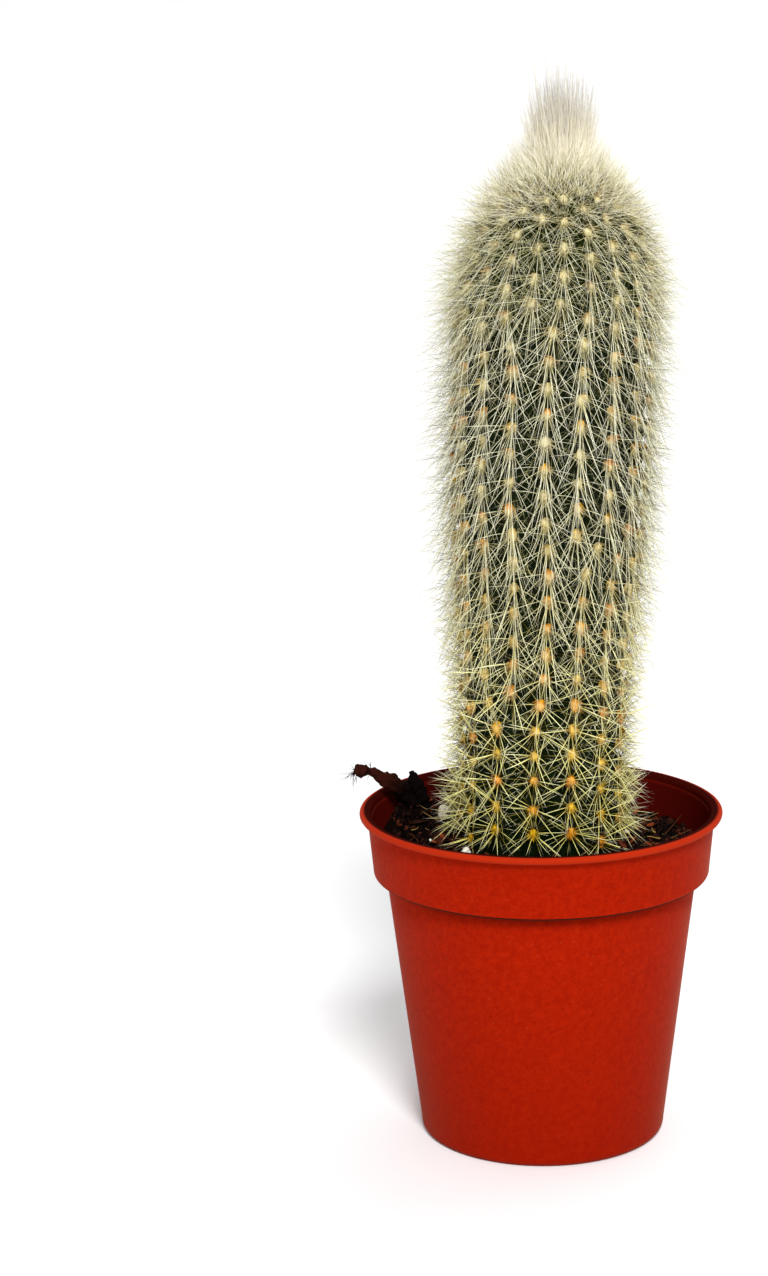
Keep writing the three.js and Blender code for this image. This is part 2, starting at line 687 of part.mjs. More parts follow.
/** One cell of a rib with its areole: a raised cushion whose facets carry the spines. */
function areoleCell(loop, rib, row) {
  const z = rowHeight(row + 0.5 + stagger(rib, row));
  const frame = skinFrame(rib, z);
  const centre = skinPoint(rib, z, 0);
  const cellWidth = (2 * Math.PI * crestRadius(z)) / RIB_COUNT;
  const cellHeight = rows[row + 1] - rows[row];
  const halfWidth = Math.min(AREOLE.halfWidth, AREOLE_SHARE.width * cellWidth);
  const halfHeight = Math.min(AREOLE.halfHeight, AREOLE_SHARE.height * cellHeight + GAP);
  const ring = [];
  for (let i = 0; i < SPINES_EACH; i += 1) {
    const turn = radians(FIRST_SPINE_ANGLE + (360 * (i - 0.5)) / SPINES_EACH);
    const point = centre
      .clone()
      .addScaledVector(frame.side, halfWidth * Math.cos(turn))
      .addScaledVector(frame.up, halfHeight * Math.sin(turn))
      .addScaledVector(frame.out, AREOLE.lift);
    ring.push(skin.add(point));
  }
  const top = skin.add(centre.clone().addScaledVector(frame.out, AREOLE.middle));
  const withAngle = (number) => {
    const offset = skin.corners[number].clone().sub(centre);
    return { number, angle: Math.atan2(offset.dot(frame.up), offset.dot(frame.side)) };
  };
  stitch(loop.map(withAngle), ring.map(withAngle));
  const habit = spineHabit(z);
  const family = `${rib} ${row}`;
  for (let i = 0; i < SPINES_EACH; i += 1) {
    const [a, b] = [ring[i], ring[(i + 1) % SPINES_EACH]];
    const angle = FIRST_SPINE_ANGLE + (360 * i) / SPINES_EACH;
    const root = skin.middle(a, b, top);
    skin.spine(a, b, top, spineTip(root, frame, angle, i === 0, habit, family));
  }
}

/** One cell of a rib without an areole. */
function plainCell(loop) {
  for (let i = 1; i + 1 < loop.length; i += 1) skin.face(loop[0], loop[i], loop[i + 1]);
}

/** All cells of the ribbed part of the stem. */
function ribbedSkin() {
  for (let row = 0; row + 1 < rows.length; row += 1) {
    for (let rib = 0; rib < RIB_COUNT; rib += 1) {
      const loop = [
        crestCorner(rib, row),
        grooveCorner(rib, row),
        grooveCorner(rib, row + 1),
        crestCorner(rib, row + 1),
        grooveCorner(rib - 1, row + 1),
        grooveCorner(rib - 1, row),
      ];
      const z = rowHeight(row + 0.5 + stagger(rib, row));
      const bears = ribWidth(rib, z) > BEARING_WIDTH && z > LOWEST_AREOLE_Z;
      if (bears) areoleCell(loop, rib, row);
      else plainCell(loop);
    }
  }
}

/** The corners of a whole line between rows, in order round the stem. */
function lineLoop(row) {
  const loop = [];
  for (let rib = 0; rib < RIB_COUNT; rib += 1) {
    loop.push(crestCorner(rib, row), grooveCorner(rib, row));
  }
  return loop;
}

/** A round ring of new corners about the stem's middle line. */
function roundRing(sides, radius, z) {
  const start = ribAzimuth(0, z);
  return Array.from({ length: sides }, (_, side) => {
    const azimuth = start + (2 * Math.PI * side) / sides;
    const x = leanAt(z) + radius * Math.sin(azimuth);
    return skin.add(new THREE.Vector3(x, -radius * Math.cos(azimuth), z));
  });
}

/** The triangles between two rings round the stem, the first one lower or further out. */
function ringFaces(outer, inner) {
  const faces = [];
  let [i, j] = [0, 0];
  while (i < outer.length || j < inner.length) {
    const [a, b] = [outer[i % outer.length], inner[j % inner.length]];
    if (j >= inner.length || (i < outer.length && (i + 0.5) / outer.length <= (j + 0.5) / inner.length)) {
      i += 1;
      faces.push([a, outer[i % outer.length], b]);
    } else {
      j += 1;
      faces.push([a, inner[j % inner.length], b]);
    }
  }
  return faces;
}

/** The buried foot: rings that narrow down to a blunt tip. */
function buriedFoot() {
  let upper = lineLoop(0);
  for (const { radius, z, sides } of FOOT_RINGS) {
    const lower = roundRing(sides, radius, z);
    for (const [a, b, c] of ringFaces(lower, upper)) skin.face(a, b, c);
    upper = lower;
  }
  const tip = skin.add(new THREE.Vector3(0, 0, FOOT_TIP_Z));
  upper.forEach((corner, i) => skin.face(tip, upper[(i + 1) % upper.length], corner));
}

/** A tall bristle of the tuft: it stands up and leans a little away from the apex. */
function tuftTip(root) {
  const height = between(random, TUFT.shortest, TUFT.longest);
  const centre = leanAt(APEX_Z);
  return new THREE.Vector3(
    centre + (root.x - centre) * TUFT.spread + between(random, -TUFT.jitter, TUFT.jitter),
    root.y * TUFT.spread + between(random, -TUFT.jitter, TUFT.jitter),
    APEX_Z + height - TUFT.taper * Math.hypot(root.x - centre, root.y),
  );
}

/** The crown: rings of skin up to the apex, with a bristle on every facet. */
function crown() {
  const last = rows.length - 1;
  let lower = lineLoop(last);
  const facets = [];
  for (const { radius, sides } of CROWN_RINGS) {
    const z = blend(rows[last], APEX_Z, 1 - (radius / CROWN_RADIUS) ** 2);
    const upper = roundRing(sides, radius, z);
    facets.push(...ringFaces(lower, upper));
    lower = upper;
  }
  const apex = skin.add(new THREE.Vector3(leanAt(APEX_Z), 0, APEX_Z));
  lower.forEach((corner, i) => facets.push([corner, lower[(i + 1) % lower.length], apex]));
  for (const [a, b, c] of facets) skin.spine(a, b, c, tuftTip(skin.middle(a, b, c)));
}

function cactusGeometry() {
  buriedFoot();
  ribbedSkin();
  crown();
  return indexedGeometry(skin.corners, skin.faces);
}

// ---- The part ---------------------------------------------------------------------------------

const group = new THREE.Group();
group.add(piece('pot', potGeometry(), plastic));
group.add(piece('soil', soilGeometry(), earth));
group.add(piece('cactus', cactusGeometry(), greenSkin));
group.add(piece('root_fragment', rootGeometry(), deadWood));

export default group;
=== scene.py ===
"""Looks of a silver torch cactus in its nursery pot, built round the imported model.

Shapes are worked out in millimetres, in the part's own frame: the origin is the middle of the
pot's underside, +Z is up and the front faces -Y. They become metres where a mesh is made.
Azimuths run from the front towards +X. Every random draw comes from a seeded generator.
"""

import logging
import math
from collections.abc import Callable, Sequence
from dataclasses import dataclass, field, replace
from enum import Enum

import bpy
import numpy as np
from bpy.types import Material, Node, NodeSocket, NodeTree, Object
from mathutils import Matrix, Vector


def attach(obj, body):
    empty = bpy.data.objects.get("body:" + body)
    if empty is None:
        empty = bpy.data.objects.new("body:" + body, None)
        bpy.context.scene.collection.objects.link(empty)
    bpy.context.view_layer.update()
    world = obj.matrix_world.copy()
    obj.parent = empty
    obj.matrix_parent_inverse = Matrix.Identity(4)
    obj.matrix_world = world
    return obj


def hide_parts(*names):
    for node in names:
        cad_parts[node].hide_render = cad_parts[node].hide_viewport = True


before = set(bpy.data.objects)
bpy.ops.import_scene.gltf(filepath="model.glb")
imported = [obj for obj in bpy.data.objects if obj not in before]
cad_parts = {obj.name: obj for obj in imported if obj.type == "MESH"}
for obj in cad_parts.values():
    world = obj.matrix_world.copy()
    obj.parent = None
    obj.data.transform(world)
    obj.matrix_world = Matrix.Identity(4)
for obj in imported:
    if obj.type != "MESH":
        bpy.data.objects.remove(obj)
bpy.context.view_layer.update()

MM = 0.001
FULL_TURN = 2 * math.pi
BODY = "root"
ALONG = "along"  # attribute: 0 at a bristle's root and 1 at its tip
TONE = "tone"  # attribute: one random number for each bristle, chip or cushion
TOP = "top"  # attribute: 0 at a cushion's lower end and 1 at its upper end
AGE = "age"  # attribute: 0 on the newest growth at the apex and 1 at the soil
EAST, BACK, UP = np.eye(3)

Colour = tuple[float, float, float]  # screen values from 0 to 255
Span = tuple[float, float]
Draw = np.random.Generator
Array = np.ndarray
Table = tuple[tuple[float, ...], ...]

log = logging.getLogger("cactus")


class Part(Enum):
    """The CAD's nodes, each with its material slot."""

    POT = ("pot", "pot_plastic")
    SOIL = ("soil", "potting_soil")
    ROOT = ("root_fragment", "dead_root")
    CACTUS = ("cactus", "cactus_body")


# ---- Plain functions ----


def rise(low: float, high: float, value: Array) -> Array:
    """Smooth step: 0 below low, 1 above high, and 3t^2 - 2t^3 between them."""
    share = np.clip((np.asarray(value, float) - low) / (high - low), 0, 1)
    return share * share * (3 - 2 * share)


def blend(start: Array, end: Array, share: Array) -> Array:
    """Straight mix of start and end by share."""
    return start + (np.asarray(end) - start) * share


def unit(vectors: Array) -> Array:
    """The vectors, each made one long."""
    return vectors / np.maximum(np.linalg.norm(vectors, axis=-1, keepdims=True), 1e-9)


def column(values: Array) -> Array:
    """The values with one axis more, ready to scale vectors."""
    return np.asarray(values)[..., None]


def spokes(first: Array, second: Array, sides: int) -> Array:
    """Ways round each line: first cos a + second sin a, for as many even turns a as sides."""
    turn = np.linspace(0, FULL_TURN, sides, endpoint=False)
    return first[..., None, :] * column(np.cos(turn)) + second[..., None, :] * column(np.sin(turn))


def arc(centre: Span, radius: float, start: float, end: float, steps: int) -> Array:
    """Points of a circle: centre + radius (cos a, sin a), for a from start to end in degrees."""
    turn = np.radians(np.linspace(start, end, steps))
    return np.column_stack([centre[0] + radius * np.cos(turn), centre[1] + radius * np.sin(turn)])


def smooth_path(points: Array, count: int) -> Array:
    """A Catmull-Rom curve through the points, by the usual cubic of four neighbours.

    Args:
        points: The values to pass through, one place a row, with any number of columns.
        count: How many rows to give back.

    Returns:
        Rows evenly spread over the stretches between the points.
    """
    padded = np.vstack([2 * points[0] - points[1], points, 2 * points[-1] - points[-2]])
    place = np.linspace(0, len(points) - 1, count)
    first = np.minimum(place.astype(int), len(points) - 2)
    t = column(place - first)
    a, b, c, d = (padded[first + step] for step in range(4))
    return 0.5 * (2 * b + (c - a) * t + (2 * a - 5 * b + 4 * c - d) * t**2 + (3 * (b - c) + d - a) * t**3)


class Ripples:
    """Smooth noise: a mean of sine waves whose directions and phases are drawn once."""

    WAVES = 24
    STRENGTH = 0.6  # brings nearly all of the noise between -1 and 1

    def __init__(self, seed: int, wavelength: float) -> None:
        """Draws the waves.

        Args:
            seed: Seed of the draw.
            wavelength: Typical distance between crests, in millimetres.
        """
        draw = np.random.default_rng(seed)
        reach = FULL_TURN / (wavelength * draw.uniform(0.6, 1.6, self.WAVES))
        self.waves = unit(draw.normal(size=(self.WAVES, 3))) * column(reach)
        self.phases = draw.uniform(0, FULL_TURN, self.WAVES)

    def at(self, places: Array) -> Array:
        """The noise at places given in millimetres."""
        total = np.zeros(places.shape[:-1])
        for wave, phase in zip(self.waves, self.phases):
            total += np.sin(places @ wave + phase)
        return total * math.sqrt(2 / self.WAVES) * self.STRENGTH


# ---- Meshes ----


def linked(name: str, data: bpy.types.ID) -> Object:
    """A new object at the origin of the scene that shows the data."""
    thing = bpy.data.objects.new(name, data)
    bpy.context.scene.collection.objects.link(thing)
    return thing


@dataclass
class Draft:
    """A mesh in the making: vertices in millimetres, faces and numbers kept on the vertices."""

    vertices: Array
    triangles: Array = field(default_factory=lambda: np.empty((0, 3), int))
    quads: Array = field(default_factory=lambda: np.empty((0, 4), int))
    numbers: dict[str, Array] = field(default_factory=dict)

    def outward(self) -> "Draft":
        """Turns every face round if the signed volume, the sum of a.(b x c) / 6, is negative."""
        faces = np.vstack([self.triangles, self.quads[:, [0, 1, 2]], self.quads[:, [0, 2, 3]]])
        a, b, c = (self.vertices[faces[:, corner]] for corner in range(3))
        if np.einsum("ij,ij->", a, np.cross(b, c)) < 0:
            self.triangles = self.triangles[:, ::-1]
            self.quads = self.quads[:, ::-1]
        return self

    def thing(self, name: str, smooth: bool = True) -> Object:
        """The Blender object, at the origin, with the numbers as attributes of its mesh.

        Args:
            name: The object's and the mesh's name.
            smooth: Whether the faces are shaded as one smooth surface.

        Returns:
            The object.
        """
        mesh = bpy.data.meshes.new(name)
        mesh.from_pydata((self.vertices * MM).tolist(), [], self.triangles.tolist() + self.quads.tolist())
        mesh.polygons.foreach_set("use_smooth", np.full(len(mesh.polygons), smooth))
        for label, values in self.numbers.items():
            made = mesh.attributes.new(label, "FLOAT", "POINT")
            made.data.foreach_set("value", np.asarray(values, np.float32))
        mesh.update()
        return linked(name, mesh)

    def piece(self, name: str, material: Material, part: Part) -> Object:
        """Makes the object, dresses it and ties it to the frame.

        Args:
            name: The piece's name.
            material: Its finish.
            part: The CAD node that it stands for.

        Returns:
            The finished object.
        """
        thing = self.outward().thing(name)
        thing.data.materials.append(material)
        node, slot = part.value
        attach(thing, BODY)
        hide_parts(node)
        log.info("%s: %d triangles", name, len(self.triangles) + 2 * len(self.quads))
        return thing


def together(drafts: Sequence[Draft]) -> Draft:
    """One draft that holds several, with the numbers that the first one has.

    Args:
        drafts: The drafts, each closed and facing outwards.

    Returns:
        The joined draft.
    """
    starts = np.cumsum([0] + [len(draft.vertices) for draft in drafts[:-1]])
    return Draft(
        np.vstack([draft.vertices for draft in drafts]),
        np.vstack([draft.triangles + start for draft, start in zip(drafts, starts)]),
        np.vstack([draft.quads + start for draft, start in zip(drafts, starts)]),
        {label: np.concatenate([draft.numbers[label] for draft in drafts]) for label in drafts[0].numbers},
    )


def ring_faces(rings: int, sides: int) -> Array:
    """Quads between rings of corners that each close round.

    Args:
        rings: Number of rings.
        sides: Corners in each ring.

    Returns:
        The quads, as numbers of corners counted ring by ring.
    """
    row, here = np.meshgrid(np.arange(rings - 1), np.arange(sides), indexing="ij")
    low, high, nxt = row * sides, (row + 1) * sides, (here + 1) % sides
    return np.stack([low + here, low + nxt, high + nxt, high + here], -1).reshape(-1, 4)


def closed_skin(rings: Array, start: Array, end: Array) -> Draft:
    """A closed surface: a grid of rings, with a fan of triangles to a point at each end.

    Args:
        rings: Corners as ring, column, xyz.
        start: The point that closes the first ring.
        end: The point that closes the last ring.

    Returns:
        The closed surface, facing outwards.
    """
    count, sides = rings.shape[:2]
    here = np.arange(sides)
    nxt = (here + 1) % sides
    last = (count - 1) * sides
    first_fan = np.column_stack([np.full(sides, count * sides), nxt, here])
    last_fan = np.column_stack([np.full(sides, count * sides + 1), last + here, last + nxt])
    vertices = np.vstack([rings.reshape(-1, 3), start, end])
    return Draft(vertices, np.vstack([first_fan, last_fan]), ring_faces(count, sides)).outward()


def revolved(profile: Array, sides: int) -> Draft:
    """A closed solid: (r cos a, r sin a, z) for each r, z of a profile that starts and ends on Z."""
    radius, height = profile[1:-1].T[..., None, None]
    start, end = column(profile[[0, -1], 1]) * UP
    return closed_skin(radius * spokes(EAST, BACK, sides) + height * UP, start, end)


def finer(profile: Array, step: float) -> Array:
    """The profile with points added by straight mixing, so that none are further apart than step."""
    spans = np.linalg.norm(np.diff(profile, axis=0), axis=1)
    counts = np.maximum((spans / step).astype(int), 1)
    parts = [np.linspace(a, b, count, endpoint=False) for a, b, count in zip(profile, profile[1:], counts)]
    return np.vstack([*parts, profile[-1:]])


def swept(path: Array, radii: Array, sides: int, rough: Callable[[Array], Array]) -> Draft:
    """A tube of changing thickness: path + r (1 + rough) (n cos a + b sin a), closed by its ends.

    The cross directions n and b are turned as little as possible from one station to the next.

    Args:
        path: Middle line, one station a row.
        radii: Radius at each station.
        sides: Corners round each station.
        rough: Share by which the surface stands out at given places.

    Returns:
        The closed tube.
    """
    ahead = unit(np.gradient(path, axis=0))
    normal = [unit(np.cross(ahead[0], [0.3, 1.0, 0.2]))]
    for direction in ahead[1:]:
        normal.append(unit(normal[-1] - direction * (normal[-1] @ direction)))
    ways = spokes(np.array(normal), np.cross(ahead, normal), sides)
    plain = path[:, None] + ways * radii[:, None, None]
    rings = path[:, None] + ways * column(radii[:, None] * (1 + rough(plain)))
    return closed_skin(rings, path[0] - ahead[0] * radii[0] * 0.4, path[-1] + ahead[-1] * radii[-1] * 0.5)


def lumps(draw: Draw, places: Array, axes: Array, rough: float, rings: int, sides: int) -> Draft:
    """Many small closed lumps: a unit sphere, roughened, stretched along three axes and put in place.

    A sphere point's distance from the middle is multiplied by 1 + rough times the sum of three
    sine waves, which are drawn anew for each lump.

    Args:
        draw: Source of the draws.
        places: Middle of each lump.
        axes: For each lump, its three half axes as rows.
        rough: Strength of the roughening.
        rings: Rings of corners between the poles.
        sides: Corners in each ring.

    Returns:
        One draft of all lumps, with a tone for each.
    """
    polar = np.linspace(0, math.pi, rings + 2)
    one = revolved(np.column_stack([np.sin(polar), np.cos(polar)]), sides)
    count, corners = len(places), len(one.vertices)
    waves = draw.normal(size=(count, 3, 3)) * 2.4
    phases = draw.uniform(0, FULL_TURN, (count, 1, 3))
    swell = 1 + rough * np.sin(np.einsum("vj,nwj->nvw", one.vertices, waves) + phases).sum(-1)
    stretched = np.einsum("nvj,njk->nvk", one.vertices * column(swell), axes)
    vertices = (places[:, None] + stretched).reshape(-1, 3)
    starts = np.arange(count)[:, None, None] * corners
    faces = [(part[None] + starts).reshape(-1, part.shape[1]) for part in (one.triangles, one.quads)]
    return Draft(vertices, *faces, {TONE: np.repeat(draw.random(count), corners)})


def turned_axes(draw: Draw, half_sizes: Array, tilt: float) -> Array:
    """Half axes of lumps that lie about level: a turn about Z, then a small tilt.

    Args:
        draw: Source of the draws.
        half_sizes: Half length, width and height of each lump.
        tilt: Largest share of up that a level axis may take on.

    Returns:
        For each lump its three half axes as rows.
    """
    count = len(half_sizes)
    turn = draw.uniform(0, FULL_TURN, count)
    first = unit(np.column_stack([np.cos(turn), np.sin(turn), draw.uniform(-tilt, tilt, count)]))
    second = unit(np.cross(UP, first) + UP * column(draw.uniform(-tilt, tilt, count)))
    return np.stack([first, second, np.cross(first, second)], 1) * half_sizes[:, :, None]


@dataclass
class Bristles:
    """Many thin tapering spines, each a short bent cone with a closed root."""

    roots: Array
    ways: Array
    lengths: Array
    thickness: Array
    bends: Array
    tones: Array
    ages: Array

    def clear_of(self, floor: Callable[[Array, Array], Array]) -> "Bristles":
        """Lifts the tips that would end below a surface, so that they lie on it.

        Args:
            floor: Height of the surface over x and y.

        Returns:
            The bristles, with their ways and lengths changed where needed.
        """
        tips = self.roots + self.ways * column(self.lengths)
        tips[:, 2] = np.maximum(tips[:, 2], floor(tips[:, 0], tips[:, 1]) + 0.5 + 1.5 * self.tones)
        reach = np.linalg.norm(tips - self.roots, axis=1)
        return replace(self, ways=(tips - self.roots) / column(reach), lengths=reach)

    def draft(self, stations: int, sides: int = 3, slimness: float = 0.5) -> Draft:
        """The mesh: root + way L s + bend L s^2, with radius r (1 - s)^slimness round it.

        Args:
            stations: Rings along each bristle before its tip.
            sides: Corners in each ring.
            slimness: Power of the taper, below 1 for a fuller shaft.

        Returns:
            One draft of all bristles, with numbers along, tone and age.
        """
        count = len(self.roots)
        share = np.linspace(0, 1, stations + 1)
        middle = self.roots[:, None] + self.ways[:, None] * column(self.lengths[:, None] * share)
        middle += self.bends[:, None] * column(self.lengths[:, None] * share**2)
        normal = unit(np.cross(self.ways, np.where(np.abs(self.ways[:, 2:]) > 0.9, EAST, UP)))
        radius = 0.5 * self.thickness[:, None] * (1 - share[:-1]) ** slimness
        ways = spokes(normal, np.cross(self.ways, normal), sides)
        rings = middle[:, :-1, None] + ways[:, None] * radius[:, :, None, None]
        vertices = np.concatenate([rings.reshape(count, -1, 3), middle[:, -1:]], 1)
        size = stations * sides + 1
        starts = np.arange(count)[:, None, None] * size
        quads = (ring_faces(stations, sides)[None] + starts).reshape(-1, 4)
        here = np.arange(sides)
        last = size - 1 - sides
        tip = np.column_stack([last + here, last + (here + 1) % sides, np.full(sides, size - 1)])
        root = np.column_stack([np.zeros(sides - 2, int), here[2:], here[1:-1]])
        caps = (np.vstack([tip, root])[None] + starts).reshape(-1, 3)
        along = np.tile(np.append(np.repeat(share[:-1], sides), 1), count)
        numbers = {ALONG: along, TONE: np.repeat(self.tones, size), AGE: np.repeat(self.ages, size)}
        return Draft(vertices.reshape(-1, 3), caps, quads, numbers)


# ---- Finishes ----


def linear(colour: Colour) -> tuple[float, float, float, float]:
    """A colour given by its screen values, as the linear values that shaders use."""
    shares = [value / 255 for value in colour]
    curved = [s / 12.92 if s <= 0.04045 else ((s + 0.055) / 1.055) ** 2.4 for s in shares]
    return (*curved, 1.0)


class Tree:
    """A node tree that is written from left to right."""

    def __init__(self, tree: NodeTree) -> None:
        """Takes the tree to write in."""
        self.tree = tree

    def node(self, kind: str, feeds: dict | None = None, **settings: object) -> Node:
        """Adds a node.

        Args:
            kind: The node's type name.
            feeds: What each input gets, by its name or number: a node's output or a plain value.
            **settings: Properties of the node.

        Returns:
            The node.
        """
        made = self.tree.nodes.new(kind)
        for name, value in settings.items():
            setattr(made, name, value)
        for key, value in (feeds or {}).items():
            self.feed(made.inputs[key], value)
        return made

    def feed(self, socket: NodeSocket, value: object) -> None:
        """Links a socket to a node's output, or sets it to a plain value."""
        if isinstance(value, NodeSocket):
            self.tree.links.new(value, socket)
        else:
            socket.default_value = value

    def maths(self, operation: str, *values: object) -> NodeSocket:
        """A Math node on the values."""
        return self.node("ShaderNodeMath", dict(enumerate(values)), operation=operation).outputs[0]

    def mix(self, share: object, low: object, high: object) -> NodeSocket:
        """Mixes two colours by a share."""
        feeds = {"Factor": share, "A": low, "B": high}
        return self.node("ShaderNodeMix", feeds, data_type="RGBA").outputs["Result"]

    def stretch(self, value: object, low: float, high: float) -> NodeSocket:
        """Maps low to 0 and high to 1, held between them."""
        feeds = {"Value": value, "From Min": low, "From Max": high}
        return self.node("ShaderNodeMapRange", feeds, clamp=True).outputs["Result"]

    def number(self, name: str) -> NodeSocket:
        """The value of one of the mesh's own attributes."""
        return self.node("ShaderNodeAttribute", attribute_name=name).outputs["Fac"]

    def place(self) -> NodeSocket:
        """Object coordinates."""
        return self.node("ShaderNodeTexCoord").outputs["Object"]

    def principled(self, colour: object, roughness: object, **others: object) -> Node:
        """A Principled shader joined to the material's output.

        Args:
            colour: Base colour.
            roughness: Roughness.
            **others: Further sockets, whose names have _ for each space.

        Returns:
            The shader's node.
        """
        feeds = {"Base Color": colour, "Roughness": roughness}
        feeds |= {name.replace("_", " "): value for name, value in others.items()}
        shader = self.node("ShaderNodeBsdfPrincipled", feeds)
        self.node("ShaderNodeOutputMaterial", {"Surface": shader.outputs["BSDF"]})
        return shader

    def bump(self, shader: Node, height: object, distance: float, strength: float) -> None:
        """Feeds a relief to a shader's normal.

        Args:
            shader: The shader.
            height: Relief from 0 to 1.
            distance: Height of the relief, in millimetres.
            strength: How much of it shows.
        """
        feeds = {"Distance": distance * MM, "Strength": strength, "Height": height}
        self.feed(shader.inputs["Normal"], self.node("ShaderNodeBump", feeds).outputs["Normal"])


class Effects:
    """The shader node groups that several finishes share."""

    FLOAT = "NodeSocketFloat"
    COLOUR = "NodeSocketColor"
    VECTOR = "NodeSocketVector"
    PICKED = 0.55  # cells whose own random value is above this bear a fleck

    def __init__(self) -> None:
        """Builds each group once."""
        self.mottle = self.build_mottle()
        self.fleck = self.build_fleck()

    def group(self, name: str, inputs: dict[str, str], outputs: dict[str, str]) -> tuple:
        """An empty shader node group with named sockets.

        Args:
            name: The group's name.
            inputs: Socket name to socket type, going in.
            outputs: Socket name to socket type, coming out.

        Returns:
            The group, a writer for it, and inside it the sockets that come in and that go out.
        """
        group = bpy.data.node_groups.new(name, "ShaderNodeTree")
        for way, sockets in (("INPUT", inputs), ("OUTPUT", outputs)):
            for label, kind in sockets.items():
                group.interface.new_socket(label, in_out=way, socket_type=kind)
        tree = Tree(group)
        return group, tree, tree.node("NodeGroupInput").outputs, tree.node("NodeGroupOutput").inputs

    def build_mottle(self) -> NodeTree:
        """Broad and fine noise that shifts one colour towards another and gives a relief."""
        sockets = {"Vector": self.VECTOR, "Base": self.COLOUR, "Shift": self.COLOUR}
        sockets |= {"Amount": self.FLOAT, "Broad Scale": self.FLOAT, "Fine Scale": self.FLOAT}
        results = {"Color": self.COLOUR, "Height": self.FLOAT}
        group, tree, given, result = self.group("mottle", sockets, results)
        parts = []
        for label, detail in (("Broad Scale", 3.0), ("Fine Scale", 4.0)):
            feeds = {"Detail": detail, "Vector": given["Vector"], "Scale": given[label]}
            parts.append(tree.node("ShaderNodeTexNoise", feeds).outputs["Fac"])
        mean = tree.maths("MULTIPLY", tree.maths("ADD", *parts), 0.5)
        share = tree.maths("MULTIPLY", tree.stretch(mean, 0.38, 0.62), given["Amount"])
        tree.feed(result["Color"], tree.mix(share, given["Base"], given["Shift"]))
        tree.feed(result["Height"], parts[1])
        return group

    def build_fleck(self) -> NodeTree:
        """Small separate spots: a mask that is 1 where the distance to a cell's middle is short."""
        sockets = {"Vector": self.VECTOR, "Scale": self.FLOAT, "Size": self.FLOAT}
        group, tree, given, result = self.group("fleck", sockets, {"Mask": self.FLOAT})
        feeds = {"Vector": given["Vector"], "Scale": given["Scale"]}
        cells = tree.node("ShaderNodeTexVoronoi", feeds, feature="F1")
        short = tree.maths("LESS_THAN", cells.outputs["Distance"], given["Size"])
        picked = tree.maths("GREATER_THAN", cells.outputs["Color"], self.PICKED)
        tree.feed(result["Mask"], tree.maths("MULTIPLY", short, picked))
        return group


def blank_material(name: str) -> tuple[Material, Tree]:
    """A material with an empty node tree.

    Args:
        name: The material's name.

    Returns:
        The material and a writer for its tree.
    """
    material = bpy.data.materials.new(name)
    material.use_nodes = True
    material.node_tree.nodes.clear()
    return material, Tree(material.node_tree)


@dataclass(frozen=True, kw_only=True)
class Finish:
    """A dull surface: a base colour, a mottle of broad and fine noise on it, and its relief."""

    effects: Effects
    name: str
    plain: Colour = (0, 0, 0)
    shade: Colour = (40, 22, 16)
    amount: float = 0.35  # share of the shade at its strongest
    scales: Span = (1400 / 3, 1400.0)  # of the broad and the fine noise
    roughness: float = 0.85
    gloss: float = 0.04
    relief: float = 0.15  # in millimetres
    strength: float = 0.8

    def base(self, tree: Tree) -> object:
        """The colour under the mottle."""
        return linear(self.plain)

    def mottled(self, tree: Tree) -> Node:
        """The base colour with the mottle on it."""
        feeds = {"Vector": tree.place(), "Base": self.base(tree), "Shift": linear(self.shade)}
        feeds |= {"Amount": self.amount, "Broad Scale": self.scales[0], "Fine Scale": self.scales[1]}
        return tree.node("ShaderNodeGroup", feeds, node_tree=self.effects.mottle)

    def build(self) -> Material:
        """Makes the material."""
        material, tree = blank_material(self.name)
        mottle = self.mottled(tree)
        shader = tree.principled(mottle.outputs["Color"], self.roughness, Specular_IOR_Level=self.gloss)
        tree.bump(shader, mottle.outputs["Height"], self.relief, self.strength)
        return material


